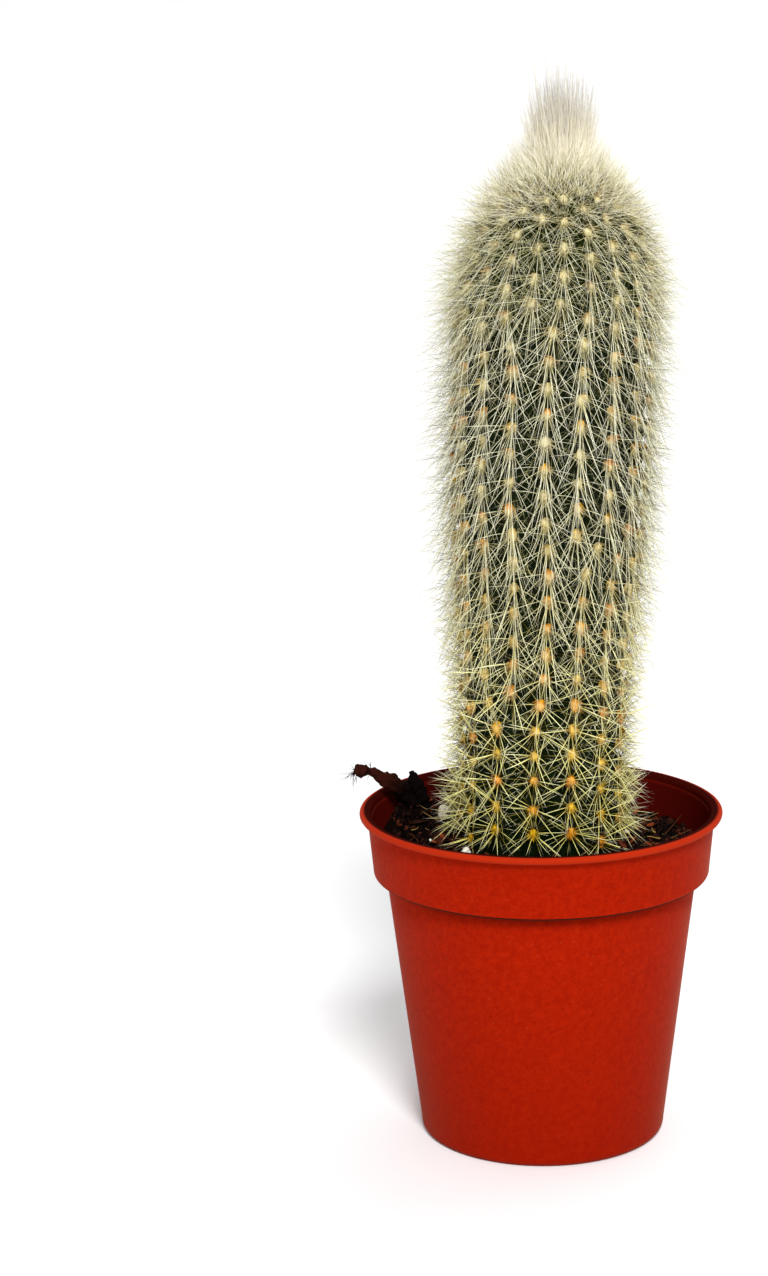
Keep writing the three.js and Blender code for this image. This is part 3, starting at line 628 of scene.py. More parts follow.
@dataclass(frozen=True, kw_only=True)
class MouldedPlastic(Finish):
    """Satin moulded plastic with a faint mottle, a fine grain and a little dust, painted shade inside,
    under the collar and low down, and a painted highlight on the lip.
    """

    name: str = "moulded_plastic"
    plain: Colour = (158, 27, 3)
    shade: Colour = (134, 15, 2)
    amount: float = 0.7
    scales: Span = (520.0, 1500.0)
    roughness: float = 0.34
    gloss: float = 0.0005
    relief: float = 0.05
    strength: float = 0.5
    uneven: float = 0.14  # how far the roughness swings with the fine noise
    dust: Colour = (150, 70, 40)
    dust_share: float = 0.16
    fleck_scale: float = 420.0
    fleck_size: float = 0.14
    sheen: float = 0.07  # of the outside, left off where the painted shade lies inside
    # painted shade: the inside wall darkened from just under the rim down past the soil
    inner_shade: Colour = (78, 11, 6)
    inside_radius: float = 40.0  # radius less the wall's slope times the height, in millimetres
    wall_slope: float = 0.1045
    inner_shade_span: Span = (97.2, 94.0)
    inner_shade_foot: float = 82.0
    crest_highlight: Colour = (166, 38, 12)  # painted highlight on the lip's crest
    lip_foot: float = 95.0
    crest_highlight_span: Span = (50.9, 51.7)
    mouth: Colour = (46, 7, 4)  # painted shade on the lip's inner half
    collar_shade: Colour = (40, 6, 3)  # painted shade under the collar's overhang
    collar_shade_span: Span = (73.5, 77.6)
    collar_shade_top: float = 78.4
    lower_shade: Colour = (112, 14, 2)  # painted shade: the lower wall darker towards the foot
    lower_shade_span: Span = (66.0, 4.0)
    lower_shade_most: float = 0.42

    def masks(self, tree: Tree) -> dict[Colour, NodeSocket]:
        """Where each change of colour lies, from the distance to the axis and the height.

        Args:
            tree: The material's tree.

        Returns:
            For each colour its mask: painted shade down the lower wall, a painted highlight on the lip's
                outer
            half and painted shade on its inner half, and painted shade under the collar and on the inside.
        """
        x, y, z = tree.node("ShaderNodeSeparateXYZ", {0: tree.place()}).outputs
        squares = (tree.maths("MULTIPLY", way, way) for way in (x, y))
        radius = tree.maths("SQRT", tree.maths("ADD", *squares))

        def along(value: object, span: Span) -> NodeSocket:
            """From 0 to 1 over a span given in millimetres."""
            return tree.stretch(value, *(edge * MM for edge in span))

        base = tree.maths("SUBTRACT", radius, tree.maths("MULTIPLY", z, self.wall_slope))
        inside = tree.maths("LESS_THAN", base, self.inside_radius * MM)
        # painted shade on the inside wall, fading in below the rim
        inner_shaded = tree.maths("MULTIPLY", inside, along(z, self.inner_shade_span))
        inner_shaded = tree.maths("MULTIPLY", inner_shaded, tree.maths("GREATER_THAN", z, self.inner_shade_foot * MM))
        lip = tree.maths("GREATER_THAN", z, self.lip_foot * MM)
        outer = along(radius, self.crest_highlight_span)
        # painted shade under the collar, strongest just below it
        collar_shade = tree.maths("POWER", along(z, self.collar_shade_span), 3.0)
        return {
            # painted shade, darker towards the foot
            self.lower_shade: tree.maths("MULTIPLY", along(z, self.lower_shade_span), self.lower_shade_most),
            # painted highlight on the lip's outer half
            self.crest_highlight: tree.maths("MULTIPLY", lip, outer),
            # painted shade on the lip's inner half
            self.mouth: tree.maths("MULTIPLY", lip, tree.maths("SUBTRACT", 1.0, outer)),
            # painted shade under the collar
            self.collar_shade: tree.maths("MULTIPLY", collar_shade, tree.maths("LESS_THAN", z, self.collar_shade_top * MM)),
            # painted shade inside the pot
            self.inner_shade: inner_shaded,
        }

    def build(self) -> Material:
        """Makes the material."""
        material, tree = blank_material(self.name)
        mottle = self.mottled(tree)
        height = mottle.outputs["Height"]
        feeds = {"Vector": tree.place(), "Scale": self.fleck_scale, "Size": self.fleck_size}
        flecks = tree.node("ShaderNodeGroup", feeds, node_tree=self.effects.fleck)
        share = tree.maths("MULTIPLY", flecks.outputs["Mask"], self.dust_share)
        colour = tree.mix(share, mottle.outputs["Color"], linear(self.dust))
        masks = self.masks(tree)
        # mixes in the painted shades and the painted highlight
        for change, mask in masks.items():
            colour = tree.mix(mask, colour, linear(change))
        rough = tree.maths("MULTIPLY", height, self.uneven)
        # no sheen where painted shade lies inside the pot and on the lip's inner half
        unshaded = tree.maths("SUBTRACT", 1.0, tree.maths("MAXIMUM", masks[self.inner_shade], masks[self.mouth]))
        shader = tree.principled(
            colour,
            tree.maths("ADD", rough, self.roughness - self.uneven / 2),
            Specular_IOR_Level=self.gloss,
            Sheen_Weight=tree.maths("MULTIPLY", unshaded, self.sheen),
            Sheen_Roughness=0.45,
            Sheen_Tint=(1.0, 0.74, 0.5, 1.0),
        )
        tree.bump(shader, height, self.relief, self.strength)
        return material


@dataclass(frozen=True, kw_only=True)
class Earth(Finish):
    """Damp peat: nearly black, with browner crumbs."""

    name: str = "peat"
    plain: Colour = (5, 2, 2)
    shade: Colour = (16, 7, 5)
    amount: float = 0.6
    scales: Span = (225.0, 900.0)
    roughness: float = 0.9
    gloss: float = 0.03
    relief: float = 0.5


@dataclass(frozen=True, kw_only=True)
class Litter(Finish):
    """A finish whose colour runs through three colours by each piece's own tone."""

    colours: tuple[Colour, Colour, Colour]

    def base(self, tree: Tree) -> object:
        """The three colours in turn, from tone 0 over 0.6 to 1."""
        tone = tree.number(TONE)
        low, middle, high = (linear(colour) for colour in self.colours)
        lower = tree.mix(tree.stretch(tone, 0.0, 0.6), low, middle)
        return tree.mix(tree.stretch(tone, 0.6, 1.0), lower, high)


@dataclass(frozen=True, kw_only=True)
class StemSkin(Finish):
    """Waxy green skin, fresher at the apex."""

    name: str = "stem_skin"
    plain: Colour = (16, 28, 3)
    young: Colour = (50, 62, 8)
    shade: Colour = (3, 6, 2)
    amount: float = 0.7
    scales: Span = (180.0, 1500.0)
    roughness: float = 0.55
    gloss: float = 0.06
    relief: float = 0.12
    strength: float = 0.7

    def base(self, tree: Tree) -> object:
        """From the young to the plain green over the first quarter of the age."""
        return tree.mix(tree.stretch(tree.number(AGE), 0.0, 0.25), linear(self.young), linear(self.plain))


@dataclass(frozen=True, kw_only=True)
class Wool(Finish):
    """Felt of the areoles: cream below, and yellow to orange at the upper end and further down."""

    name: str = "areole_wool"
    plain: Colour = (232, 226, 184)
    yellow: Colour = (246, 200, 36)
    orange: Colour = (240, 138, 14)
    shade: Colour = (246, 200, 36)
    amount: float = 0.3
    scales: Span = (900.0, 3500.0)
    roughness: float = 0.9
    gloss: float = 0.2
    relief: float = 0.2

    def base(self, tree: Tree) -> object:
        """Cream, turned warm at a cushion's upper end, less on young ones, and all over with age."""
        tone, age, top = tree.number(TONE), tree.number(AGE), tree.number(TOP)
        warm = tree.mix(tree.stretch(tone, 0.4, 1.0), linear(self.yellow), linear(self.orange))
        crest = tree.maths("MULTIPLY", tree.stretch(top, 0.4, 0.8), tree.stretch(tone, 0.0, 0.6))
        ripe = tree.maths("ADD", 0.3, tree.maths("MULTIPLY", tree.stretch(age, 0.1, 0.4), 0.7))
        turned = tree.maths("MAXIMUM", tree.maths("MULTIPLY", crest, ripe), tree.stretch(age, 0.4, 0.95))
        return tree.mix(turned, linear(self.plain), warm)


@dataclass(frozen=True)
class SpineFinish:
    """Horny spine: warm at its root, or dark there as painted shade, pale along its shaft, clearer at its
    tip.
    """

    name: str
    root: Colour
    shaft: Colour
    tip: Colour
    old_root: Colour = (206, 170, 58)
    old_shaft: Colour = (238, 226, 132)
    unevenness: float = 0.1  # share of the old root's colour on the most uneven spine
    foot: Span = (0.02, 0.35)  # share of the length over which the root's colour fades
    ageing: Span = (0.4, 1.0)  # ages between which the old colours come in
    roughness: float = 0.45
    gloss: float = 0.1

    def build(self) -> Material:
        """Makes the material."""
        material, tree = blank_material(self.name)
        along, old = tree.number(ALONG), tree.stretch(tree.number(AGE), *self.ageing)
        root = tree.mix(old, linear(self.root), linear(self.old_root))
        shaft = tree.mix(old, linear(self.shaft), linear(self.old_shaft))
        lower = tree.mix(tree.stretch(along, *self.foot), root, shaft)
        whole = tree.mix(tree.stretch(along, 0.5, 1.0), lower, linear(self.tip))
        uneven = tree.maths("MULTIPLY", tree.number(TONE), self.unevenness)
        colour = tree.mix(uneven, whole, linear(self.old_root))
        tree.principled(colour, self.roughness, Specular_IOR_Level=self.gloss)
        return material




# ---- Pot ----


@dataclass
class Pot:
    """The nursery pot: a thin moulded cup with a rolled lip, a collar, a step and drain holes."""

    sides: int = 224
    height: float = 96.8
    lip_radius: float = 52.5
    lip_height: float = 1.9
    collar_top: float = 50.2
    collar_foot: float = 48.7
    collar_foot_z: float = 78.9
    step_foot_z: float = 77.3
    wall_top: float = 45.0
    foot_radius: float = 35.7
    foot_round: float = 2.2
    wall: float = 1.2
    floor_top_z: float = 2.2
    pad_radius: float = 12.0
    foot_ring: float = 5.0
    recess: float = 0.8
    drain_holes: int = 6
    drain_radius: float = 3.0
    drain_circle: float = 21.0
    drain_reach: Span = (-5.0, 8.0)  # heights that the drill passes through
    drill_sides: int = 32
    collar_round: float = 1.1
    mouth_round: float = 1.3
    profile_step: float = 4.0

    def inner_radius(self, z: float) -> float:
        """Inner radius of the pot at a height above its floor."""
        step_z, collar_z = self.step_foot_z + self.wall, self.collar_foot_z + self.wall
        heights = [0, step_z, collar_z, self.height - self.lip_height]
        radii = [self.foot_radius, self.wall_top, self.collar_foot, self.collar_top]
        return float(np.interp(z, heights, radii)) - self.wall

    def profile(self) -> Array:
        """The section, from the axis along the underside, up the outside and down the inside."""
        ring_start = self.foot_radius - self.foot_round - self.foot_ring
        lip_foot = self.height - self.lip_height
        bead = self.lip_height / 2
        mouth = self.mouth_round
        underside = [
            [0, 0],
            [self.pad_radius, 0],
            [self.pad_radius + self.recess, self.recess],
            [ring_start, self.recess],
            [ring_start + self.recess, 0],
        ]
        foot = arc((self.foot_radius - self.foot_round, self.foot_round), self.foot_round, -90, 5, 8)
        step_z = self.step_foot_z
        wall_foot = [[self.wall_top - 0.12, step_z - 1], [self.wall_top + 0.15, step_z - 0.1]]
        edge = arc((self.collar_foot - self.collar_round, self.collar_foot_z), self.collar_round, -85, 4, 8)
        neck = [[self.collar_top - 0.02, lip_foot - 0.4], [self.collar_top + 0.25, lip_foot]]
        lip_outer = arc((self.lip_radius - bead, lip_foot + bead), bead, -70, 90, 12)
        lip_inner = arc((self.collar_top - self.wall + mouth, self.height - mouth), mouth, 95, 180, 8)
        corners = (z + self.wall for z in (self.collar_foot_z, step_z, self.floor_top_z))
        inside = [[self.inner_radius(z), z] for z in corners]
        floor = [[self.inner_radius(self.floor_top_z) - self.wall, self.floor_top_z], [0, self.floor_top_z]]
        return np.vstack([underside, foot, wall_foot, edge, neck, lip_outer, lip_inner, inside, floor])

    def build(self, finish: MouldedPlastic) -> Object:
        """Makes the pot and drills its floor.

        Args:
            finish: The plastic.

        Returns:
            The pot.
        """
        cup = revolved(finer(self.profile(), self.profile_step), self.sides)
        pot = cup.piece("nursery_pot", finish.build(), Part.POT)
        low, high = self.drain_reach
        bore = np.array([[0, low], [self.drain_radius, low], [self.drain_radius, high], [0, high]])
        drills = []
        for turn in (np.arange(self.drain_holes) + 0.5) * FULL_TURN / self.drain_holes:
            drill = revolved(bore, self.drill_sides)
            drill.vertices += [self.drain_circle * math.cos(turn), self.drain_circle * math.sin(turn), 0]
            drills.append(drill)
        tool = together(drills).thing("drill", smooth=False)
        cut = pot.modifiers.new("drain_holes", "BOOLEAN")
        cut.operation, cut.solver, cut.object = "DIFFERENCE", "EXACT", tool
        settled = bpy.data.meshes.new_from_object(pot.evaluated_get(bpy.context.evaluated_depsgraph_get()))
        pot.modifiers.clear()
        pot.data = settled
        bpy.data.objects.remove(tool)
        return pot


# ---- Soil ----


@dataclass
class Soil:
    """Peat that fills the pot, with crumbs, bark, perlite and root threads on it."""

    pot: Pot
    effects: Effects
    seed: int = 21
    level: float = 85.0
    gap: float = 0.3  # left to the pot's wall
    mound: tuple[float, float, float] = (3.4, 22.0, 9.0)  # height, start and reach from the stem
    heaps: Table = ((-37, 21, 8.5, 11), (-45, -3, -4.5, 7))
    ripple: float = 0.6
    clods: Table = ((5, 7.0, 1.1), (6, 2.6, 0.55))  # seed, wavelength and height of the bulk's noise
    bulk_sunk: float = 0.5  # how far the bulk lies under the loose litter
    hole: Table = ((0, 66.7), (11.3, 69.7), (19.8, 79.7), (24.1, 85.0))
    sides: int = 260
    surface_rings: int = 52
    scatter_from: float = 23.8
    crumbs: int = 2300
    crumb_size: Span = (0.4, 1.6)
    chips: int = 190
    chip_size: Span = (0.8, 2.2)
    perlite: int = 14
    perlite_size: Span = (0.8, 2.0)
    threads: int = 230
    thread_length: Span = (3, 9)
    thread_width: Span = (0.16, 0.42)
    perlite_in_sight: Table = (
        (-28.2, 16.0, 5.0),
        (-21.3, -17.2, 3.4),
        (-12.5, -24.2, 1.8),
        (3.6, -26.2, 1.9),
    )

    def height(self, x: Array, y: Array) -> Array:
        """Surface height: level + mound h exp(-(d/reach)^2) + heaps and hollows + ripples."""
        extra, start, reach = self.mound
        away = np.maximum(np.hypot(x, y) - start, 0)
        total = self.level + extra * np.exp(-((away / reach) ** 2))
        for at_x, at_y, tall, wide in self.heaps:
            total = total + tall * np.exp(-((x - at_x) ** 2 + (y - at_y) ** 2) / wide**2)
        ripple = np.sin(0.55 * x + 1.3) * np.sin(0.62 * y - 0.4) + 0.6 * np.sin(1.1 * x - 0.9 * y)
        return total + self.ripple * ripple

    def edge(self) -> float:
        """Radius of the soil's surface at the pot's wall."""
        return self.pot.inner_radius(self.level) - self.gap

    def body(self) -> Object:
        """The bulk: up out of the stem's hole, across the surface, down the wall and under."""
        pot, gap = self.pot, self.gap
        bottom = pot.floor_top_z + gap
        collar_z, step_z = pot.collar_foot_z + pot.wall, pot.step_foot_z + pot.wall
        across = np.linspace(self.hole[-1][0], self.edge(), self.surface_rings)
        sides = [
            [pot.inner_radius(collar_z) - gap, collar_z + gap],
            [pot.inner_radius(step_z) - gap, step_z],
            [pot.inner_radius(bottom + pot.wall) - gap, bottom + pot.wall],
            [pot.inner_radius(bottom) - pot.wall - gap, bottom],
            [0, bottom],
        ]
        surface = [[radius, self.level] for radius in across]
        shape = revolved(np.vstack([self.hole[:-1], surface, sides]), self.sides)
        x, y, z = shape.vertices.T
        coarse, fine = (tall * Ripples(seed, wave).at(shape.vertices) for seed, wave, tall in self.clods)
        heights = np.maximum(self.height(x, y) + (coarse + fine) - self.bulk_sunk, collar_z + 2 * gap)
        shape.vertices[:, 2] = np.where(np.abs(z - self.level) < 0.01, heights, z)
        return shape.piece("peat_bulk", Earth(effects=self.effects).build(), Part.SOIL)

    def scatter(self, draw: Draw, count: int, margin: float = 1.2, lift: float = 0.0) -> Array:
        """Even random places on the surface between the stem and the wall.

        Args:
            draw: Source of the draws.
            count: How many places.
            margin: Distance kept from the wall.
            lift: Height over the surface.

        Returns:
            The places.
        """
        radius = np.sqrt(draw.uniform(self.scatter_from**2, (self.edge() - margin) ** 2, count))
        turn = draw.uniform(0, FULL_TURN, count)
        x, y = radius * np.cos(turn), radius * np.sin(turn)
        return np.column_stack([x, y, self.height(x, y) + lift])

    def loose(self) -> None:
        """Crumbs, bark chips, perlite and threads on the surface."""
        draw = np.random.default_rng(self.seed)

        def lay(name: str, sizes: Array, spots: Array, form: tuple, finish: dict) -> None:
            """Lays lumps of half sizes on spots; their form is tilt, roughness, rings and sides."""
            grains = lumps(draw, spots, turned_axes(draw, sizes, form[0]), *form[1:])
            grains.piece(name, Litter(effects=self.effects, **finish).build(), Part.SOIL)

        count = self.crumbs
        sizes = column(draw.uniform(*self.crumb_size, count) ** 1.3) * draw.uniform(0.4, 0.75, (count, 3))
        crumb = dict(name="peat_crumb", colours=((5, 2, 2), (22, 8, 6), (84, 37, 20)))
        lay("peat_crumbs", sizes, self.scatter(draw, count), (0.9, 0.2, 3, 6), crumb)

        count = self.chips
        long = column(draw.uniform(*self.chip_size, count))
        width, height = draw.uniform(0.3, 0.7, count), draw.uniform(0.12, 0.3, count)
        sizes = long * np.column_stack([np.ones(count), width, height])
        bark = dict(name="bark_chips", colours=((12, 5, 4), (54, 21, 12), (142, 66, 32)))
        lay("bark_chips", sizes, self.scatter(draw, count, 3.0, 0.5), (0.8, 0.17, 3, 7), bark)

        x, y, size = np.array(self.perlite_in_sight).T
        seen = np.column_stack([x, y, self.height(x, y) + size / 4])
        spots = np.vstack([seen, self.scatter(draw, self.perlite, 3.0, 0.2)])
        half = 0.5 * np.append(size, draw.uniform(*self.perlite_size, self.perlite))
        sizes = column(half) * draw.uniform(0.75, 1.05, (len(half), 3))
        white = dict(name="perlite", colours=((240, 230, 208), (248, 242, 226), (254, 250, 238)))
        white |= dict(shade=(206, 186, 154), roughness=0.9, scales=(2600 / 3, 2600.0))
        lay("perlite_grains", sizes, spots, (0.9, 0.07, 9, 14), white)

        count = self.threads
        spots = self.scatter(draw, count, 8.0, 0.3)
        turn = draw.uniform(0, FULL_TURN, count)
        ways = unit(np.column_stack([np.cos(turn), np.sin(turn), draw.uniform(-0.05, 0.35, count)]))
        bends = draw.normal(0, 0.35, (count, 3)) * [1, 1, 0.4]
        tones = draw.random(count)
        lengths, widths = draw.uniform(*self.thread_length, count), draw.uniform(*self.thread_width, count)
        threads = Bristles(spots, ways, lengths, widths, bends, tones, tones).clear_of(self.height)
        fibre = dict(name="root_threads", colours=((40, 20, 13), (96, 56, 28), (190, 156, 84)), relief=0.02)
        finish = Litter(effects=self.effects, **fibre).build()
        threads.draft(6, 5).piece("root_threads", finish, Part.SOIL)


# ---- Dead root ----


@dataclass
class DeadRoot:
    """A knotty dead root that leans out over the rim, with a splinter and root hairs."""

    effects: Effects
    path: Table = (
        (-34.5, 22, 82, 3.8),
        (-36.3, 21, 89, 4.2),
        (-38.6, 20, 93.5, 3.1),
        (-42.9, 16, 99.2, 2.1),
        (-47.0, 14, 102.3, 1.5),
        (-49.8, 13.2, 103.9, 1.2),
        (-52.0, 12.4, 104.8, 1.8),
        (-54.0, 11.8, 104.6, 1.7),
    )  # x, y, z and radius
    splinter: Table = (
        (-36, 20.5, 88, 2.4),
        (-36.3, 18.5, 96.5, 2.4),
        (-38, 17, 102.8, 1.0),
    )
    tips: Table = ((-54.1, 12, 104.3), (-49.8, 13, 104.9), (-42.4, 16, 101.3))
    tip_shares: tuple[float, float, float] = (0.6, 0.25, 0.15)  # of the hairs that each tip bears
    hairs: int = 34
    seeds: tuple[int, int, int] = (31, 32, 33)  # of the coarse bark, the fine bark and the hairs

    def build(self) -> Object:
        """Makes the root with its splinter and hairs, as one mesh."""
        coarse, fine = Ripples(self.seeds[0], 5.0), Ripples(self.seeds[1], 1.6)

        def bark(places: Array) -> Array:
            """Share by which bark stands out: two sizes of noise."""
            return 0.3 * coarse.at(places) + 0.2 * fine.at(places)

        drafts = []
        for line, stations, sides in ((self.path, 90, 40), (self.splinter, 44, 24)):
            smooth = smooth_path(np.array(line, float), stations)
            branch = swept(smooth[:, :3], smooth[:, 3], sides, bark)
            branch.numbers = {TONE: 0.6 * rise(-47, -39, branch.vertices[:, 0])}
            drafts.append(branch)
        draw, count = np.random.default_rng(self.seeds[2]), self.hairs
        roots = np.array(self.tips)[draw.choice(3, count, p=self.tip_shares)]
        spread = ((-0.6, 0.6), (0, 0.5), (-0.1, 0.8))  # mean and spread of x, y and z
        ways = unit(np.column_stack([draw.normal(mean, wide, count) for mean, wide in spread]))
        tones = draw.uniform(0.1, 0.5, count)
        lengths, widths = draw.uniform(1.6, 5.5, count), draw.uniform(0.16, 0.34, count)
        bends = draw.normal(0, 0.5, (count, 3)) - 0.35 * UP
        hairs = Bristles(roots, ways, lengths, widths, bends, tones, tones).draft(6, 5, 0.6)
        wood = Litter(
            effects=self.effects,
            name="dead_wood",
            colours=((54, 19, 11), (11, 5, 4), (118, 62, 34)),
            shade=(5, 2, 2),
            roughness=0.9,
            scales=(140.0, 420.0),
            relief=0.6,
        )
        return together([*drafts, hairs]).piece("dead_root", wood.build(), Part.ROOT)


# ---- Cactus ----


@dataclass
class Stem:
    """Form of the stem: a leaning, swelling column with a dome, cut by ribs that branch upwards."""

    foot_radius: float = 22.3
    top_radius: float = 26.5
    swells: Span = (118, 205)
    neck_extra: float = 0.6
    neck: Span = (88, 112)
    dome_start: float = 235.0
    apex: float = 279.0
    dome_power: float = 2.3
    lean_start: float = 88.0
    lean_span: float = 190.0
    lean_offset: float = 7.0
    lean_power: float = 1.3
    ribs: int = 21
    rib_starts: dict[int, float] = field(
        default_factory=lambda: {1: 175, 5: 240, 8: 134, 11: 236, 14: 138, 19: 130, 20: 237}
    )
    growth: Span = (8, 12)  # heights under and over its start in which a rib widens
    young_rib: float = 0.05
    rib_depth: float = 3.0
    turns: Table = ((6.5, 120, 148), (-4.5, 168, 195), (6.5, 232, 250))
    start_azimuth: float = -5.5
    first_row: float = 86.0
    lowest_areole: float = 90.2
    pitch: float = 7.5
    crown_pitch: float = 0.45
    crown_radius: float = 7.5
    stagger: float = 0.25
    full_cell: float = 4.2  # a rib's width from which the cushions are full-grown
    columns_per_rib: int = 6
    rows_of_skin: int = 270

    def lean(self, z: Array) -> Array:
        """Sideways place of the middle line: offset times share of the height, to a power."""
        return self.lean_offset * np.clip((z - self.lean_start) / self.lean_span, 0, 1.2) ** self.lean_power

    def age(self, z: Array) -> Array:
        """Age of what grows at a height, 0 at the apex and 1 at the soil."""
        return (self.apex - z) / (self.apex - self.first_row)

    def crest_radius(self, z: Array) -> Array:
        """Radius over the crests: (column + neck) sqrt(1 - climb^power)."""
        column_radius = blend(self.foot_radius, self.top_radius, rise(*self.swells, z))
        neck = self.neck_extra * (1 - rise(*self.neck, z))
        climb = np.clip((z - self.dome_start) / (self.apex - self.dome_start), 0, 1)
        return (column_radius + neck) * np.sqrt(1 - climb**self.dome_power)

    def rib_width(self, rib: int, z: Array) -> Array:
        """Width of a rib at a height, as a share of a full one."""
        if rib not in self.rib_starts:
            return np.ones_like(np.asarray(z, float))
        start = self.rib_starts[rib]
        return blend(self.young_rib, 1.0, rise(start - self.growth[0], start + self.growth[1], z))

    def azimuth(self, place: Array, z: Array) -> Array:
        """Azimuth of a place round the stem: the share of all rib widths passed, and slow turns.

        Args:
            place: From 0 to the number of ribs; whole numbers are crests.
            z: Heights.

        Returns:
            Azimuths in radians.
        """
        passed = np.zeros(np.broadcast(place, z).shape)
        whole = np.zeros_like(passed)
        for rib in range(self.ribs):
            width = self.rib_width(rib, z)
            passed += np.clip(place + 0.5 - rib, 0, 1) * width
            whole += width
        turned = self.start_azimuth + sum(degrees * rise(low, high, z) for degrees, low, high in self.turns)
        return FULL_TURN * (passed - self.rib_width(0, z) / 2) / whole + np.radians(turned)

    def width_at(self, place: Array, z: Array) -> Array:
        """Width of the rib that a place lies on, as a share of a full one."""
        widths = np.stack([self.rib_width(number, z) for number in range(self.ribs)])
        return np.take_along_axis(widths, np.round(place).astype(int)[None] % self.ribs, 0)[0]

    def groove(self, z: Array) -> Array:
        """Depth of the grooves: shallower where the stem narrows."""
        return self.rib_depth * np.minimum(1, self.crest_radius(z) / self.foot_radius)

    def point(self, place: Array, z: Array, depth: Array) -> Array:
        """A point of the skin, a depth below the crests: (lean + r sin a, -r cos a, z)."""
        azimuth = self.azimuth(place, z)
        radius = self.crest_radius(z) - depth
        x, y = self.lean(z) + radius * np.sin(azimuth), -radius * np.cos(azimuth)
        return np.stack([x, y, z + 0 * azimuth], -1)

    def directions(self, place: Array, z: Array) -> tuple[Array, Array, Array]:
        """Outwards, sideways and up along the rib, at places on the crests.

        Args:
            place: Places round the stem.
            z: Heights.

        Returns:
            The three unit vectors of each place.
        """
        step = 0.05
        up = unit(self.point(place, z + step, 0) - self.point(place, z - step, 0))
        azimuth = self.azimuth(place, z)
        side = np.stack([np.cos(azimuth), np.sin(azimuth), 0 * azimuth], -1)
        side = unit(side - up * column(np.einsum("...i,...i", side, up)))
        return np.cross(side, up), side, up

    def walked(self, heights: Array) -> Array:
        """Distance along the crest line up to each height, from the first one."""
        steps = np.hypot(np.diff(heights), np.diff(self.crest_radius(heights)))
        return np.concatenate([[0], np.cumsum(steps)])

    def row_heights(self) -> Array:
        """Heights of the lines between rows of areoles, closer together towards the crown.

        The pitch shrinks with the radius, so lines are even steps of the distance divided by it.
        """
        heights = np.linspace(self.first_row, self.apex - 0.05, 6000)
        heights = heights[self.crest_radius(heights) > self.crown_radius]
        narrowing = np.minimum(self.crest_radius(heights) / self.foot_radius, 1)
        local = self.pitch * blend(self.crown_pitch, 1.0, narrowing)
        passed = np.concatenate([[0], np.cumsum(np.diff(self.walked(heights)) / local[1:])])
        return np.interp(np.arange(int(passed[-1]) + 1), passed, heights)


@dataclass
class Areoles:
    """Where the areoles sit, with their directions, ages and sizes."""

    rib: Array
    z: Array
    centre: Array
    out: Array
    side: Array
    up: Array
    age: Array
    tone: Array
    half_width: Array
    half_height: Array

    @classmethod
    def on(cls, stem: Stem, draw: Draw) -> "Areoles":
        """Places them along the ribs, staggered between neighbours and a little uneven.

        Args:
            stem: The stem.
            draw: Source of the draws.

        Returns:
            The areoles.
        """
        lines = stem.row_heights()
        rows = np.arange(len(lines) - 1) + 0.5
        ribs, places = [], []
        for rib in range(stem.ribs):
            shift = (stem.stagger if rib % 2 else -stem.stagger) + draw.normal(0, 0.04, len(rows))
            z = np.interp(rows + shift, np.arange(len(lines)), lines)
            bears = (stem.rib_width(rib, z) > 0.7) & (z > stem.lowest_areole)
            ribs.append(np.full(bears.sum(), rib))
            places.append(z[bears])
        rib, z = np.concatenate(ribs), np.concatenate(places)
        cell = FULL_TURN * stem.crest_radius(z) / stem.ribs
        size = draw.uniform(0.85, 1.15, len(z)) * np.minimum(1, cell / stem.full_cell)
        size = size * blend(0.82, 1.0, rise(104, 130, z))
        centre, ways, tone = stem.point(rib, z, 0.1), stem.directions(rib, z), draw.random(len(z))
        return cls(rib, z, centre, *ways, stem.age(z), tone, 1.5 * size, 1.95 * size)


class SpineKind(Enum):
    """The spines of an areole."""

    RADIAL = "radial_spines"
    COMBED = "combed_spines"
    CENTRAL = "central_spines"
    HALO = "halo_hairs"
    CROWN = "crown_fur"


@dataclass(frozen=True)
class Habit:
    """How one kind of spine stands on an areole: low on the stem, higher up, and on the crown."""

    finish: str
    count: int
    low_length: Span
    length: Span
    crown_length: Span
    thickness: Span
    tilt: Span  # degrees from straight out
    fan: float  # degrees to each side of straight down, where the spines are combed
    drop: float  # how far a combed spine is pulled down
    bend: float
    stations: int
    reach: float  # share of the cushion's half size at which the spines stand
    lee: float = 0.0  # share by which they are longer on the side that the stem leans away from
    slims: bool = False  # whether they are thinner on the dome
    lowest: float = 0.0  # height above which areoles bear them


HABITS = {
    SpineKind.RADIAL: Habit(
        "deep_spine", 11, (7, 13.5), (7.5, 15), (5.5, 10), (0.11, 0.155), (48, 84),
        fan=180, drop=0.1, bend=0.06, stations=2, reach=0.85,
    ),
    SpineKind.COMBED: Habit(
        "bright_spine", 9, (8, 14), (9, 17), (6.5, 11), (0.16, 0.22), (30, 78),
        fan=115, drop=0.22, bend=0.06, stations=3, reach=0.5, slims=True,
    ),
    SpineKind.CENTRAL: Habit(
        "bright_spine", 4, (9, 16), (12, 22), (7, 12), (0.22, 0.33), (46, 78),
        fan=36, drop=0.4, bend=0.03, stations=3, reach=0.25, slims=True,
    ),
    SpineKind.HALO: Habit(
        "soft_hair", 11, (6, 11.5), (9, 18.5), (9, 16.5), (0.08, 0.12), (10, 52),
        fan=180, drop=0.3, bend=0.1, stations=2, reach=0.9, lee=0.35,
    ),
    SpineKind.CROWN: Habit(
        "crown_fur", 22, (6, 11), (6, 11), (5.5, 11.5), (0.12, 0.18), (20, 78),
        fan=180, drop=0.25, bend=0.06, stations=2, reach=0.9, lee=0.3, lowest=236,
    ),
}

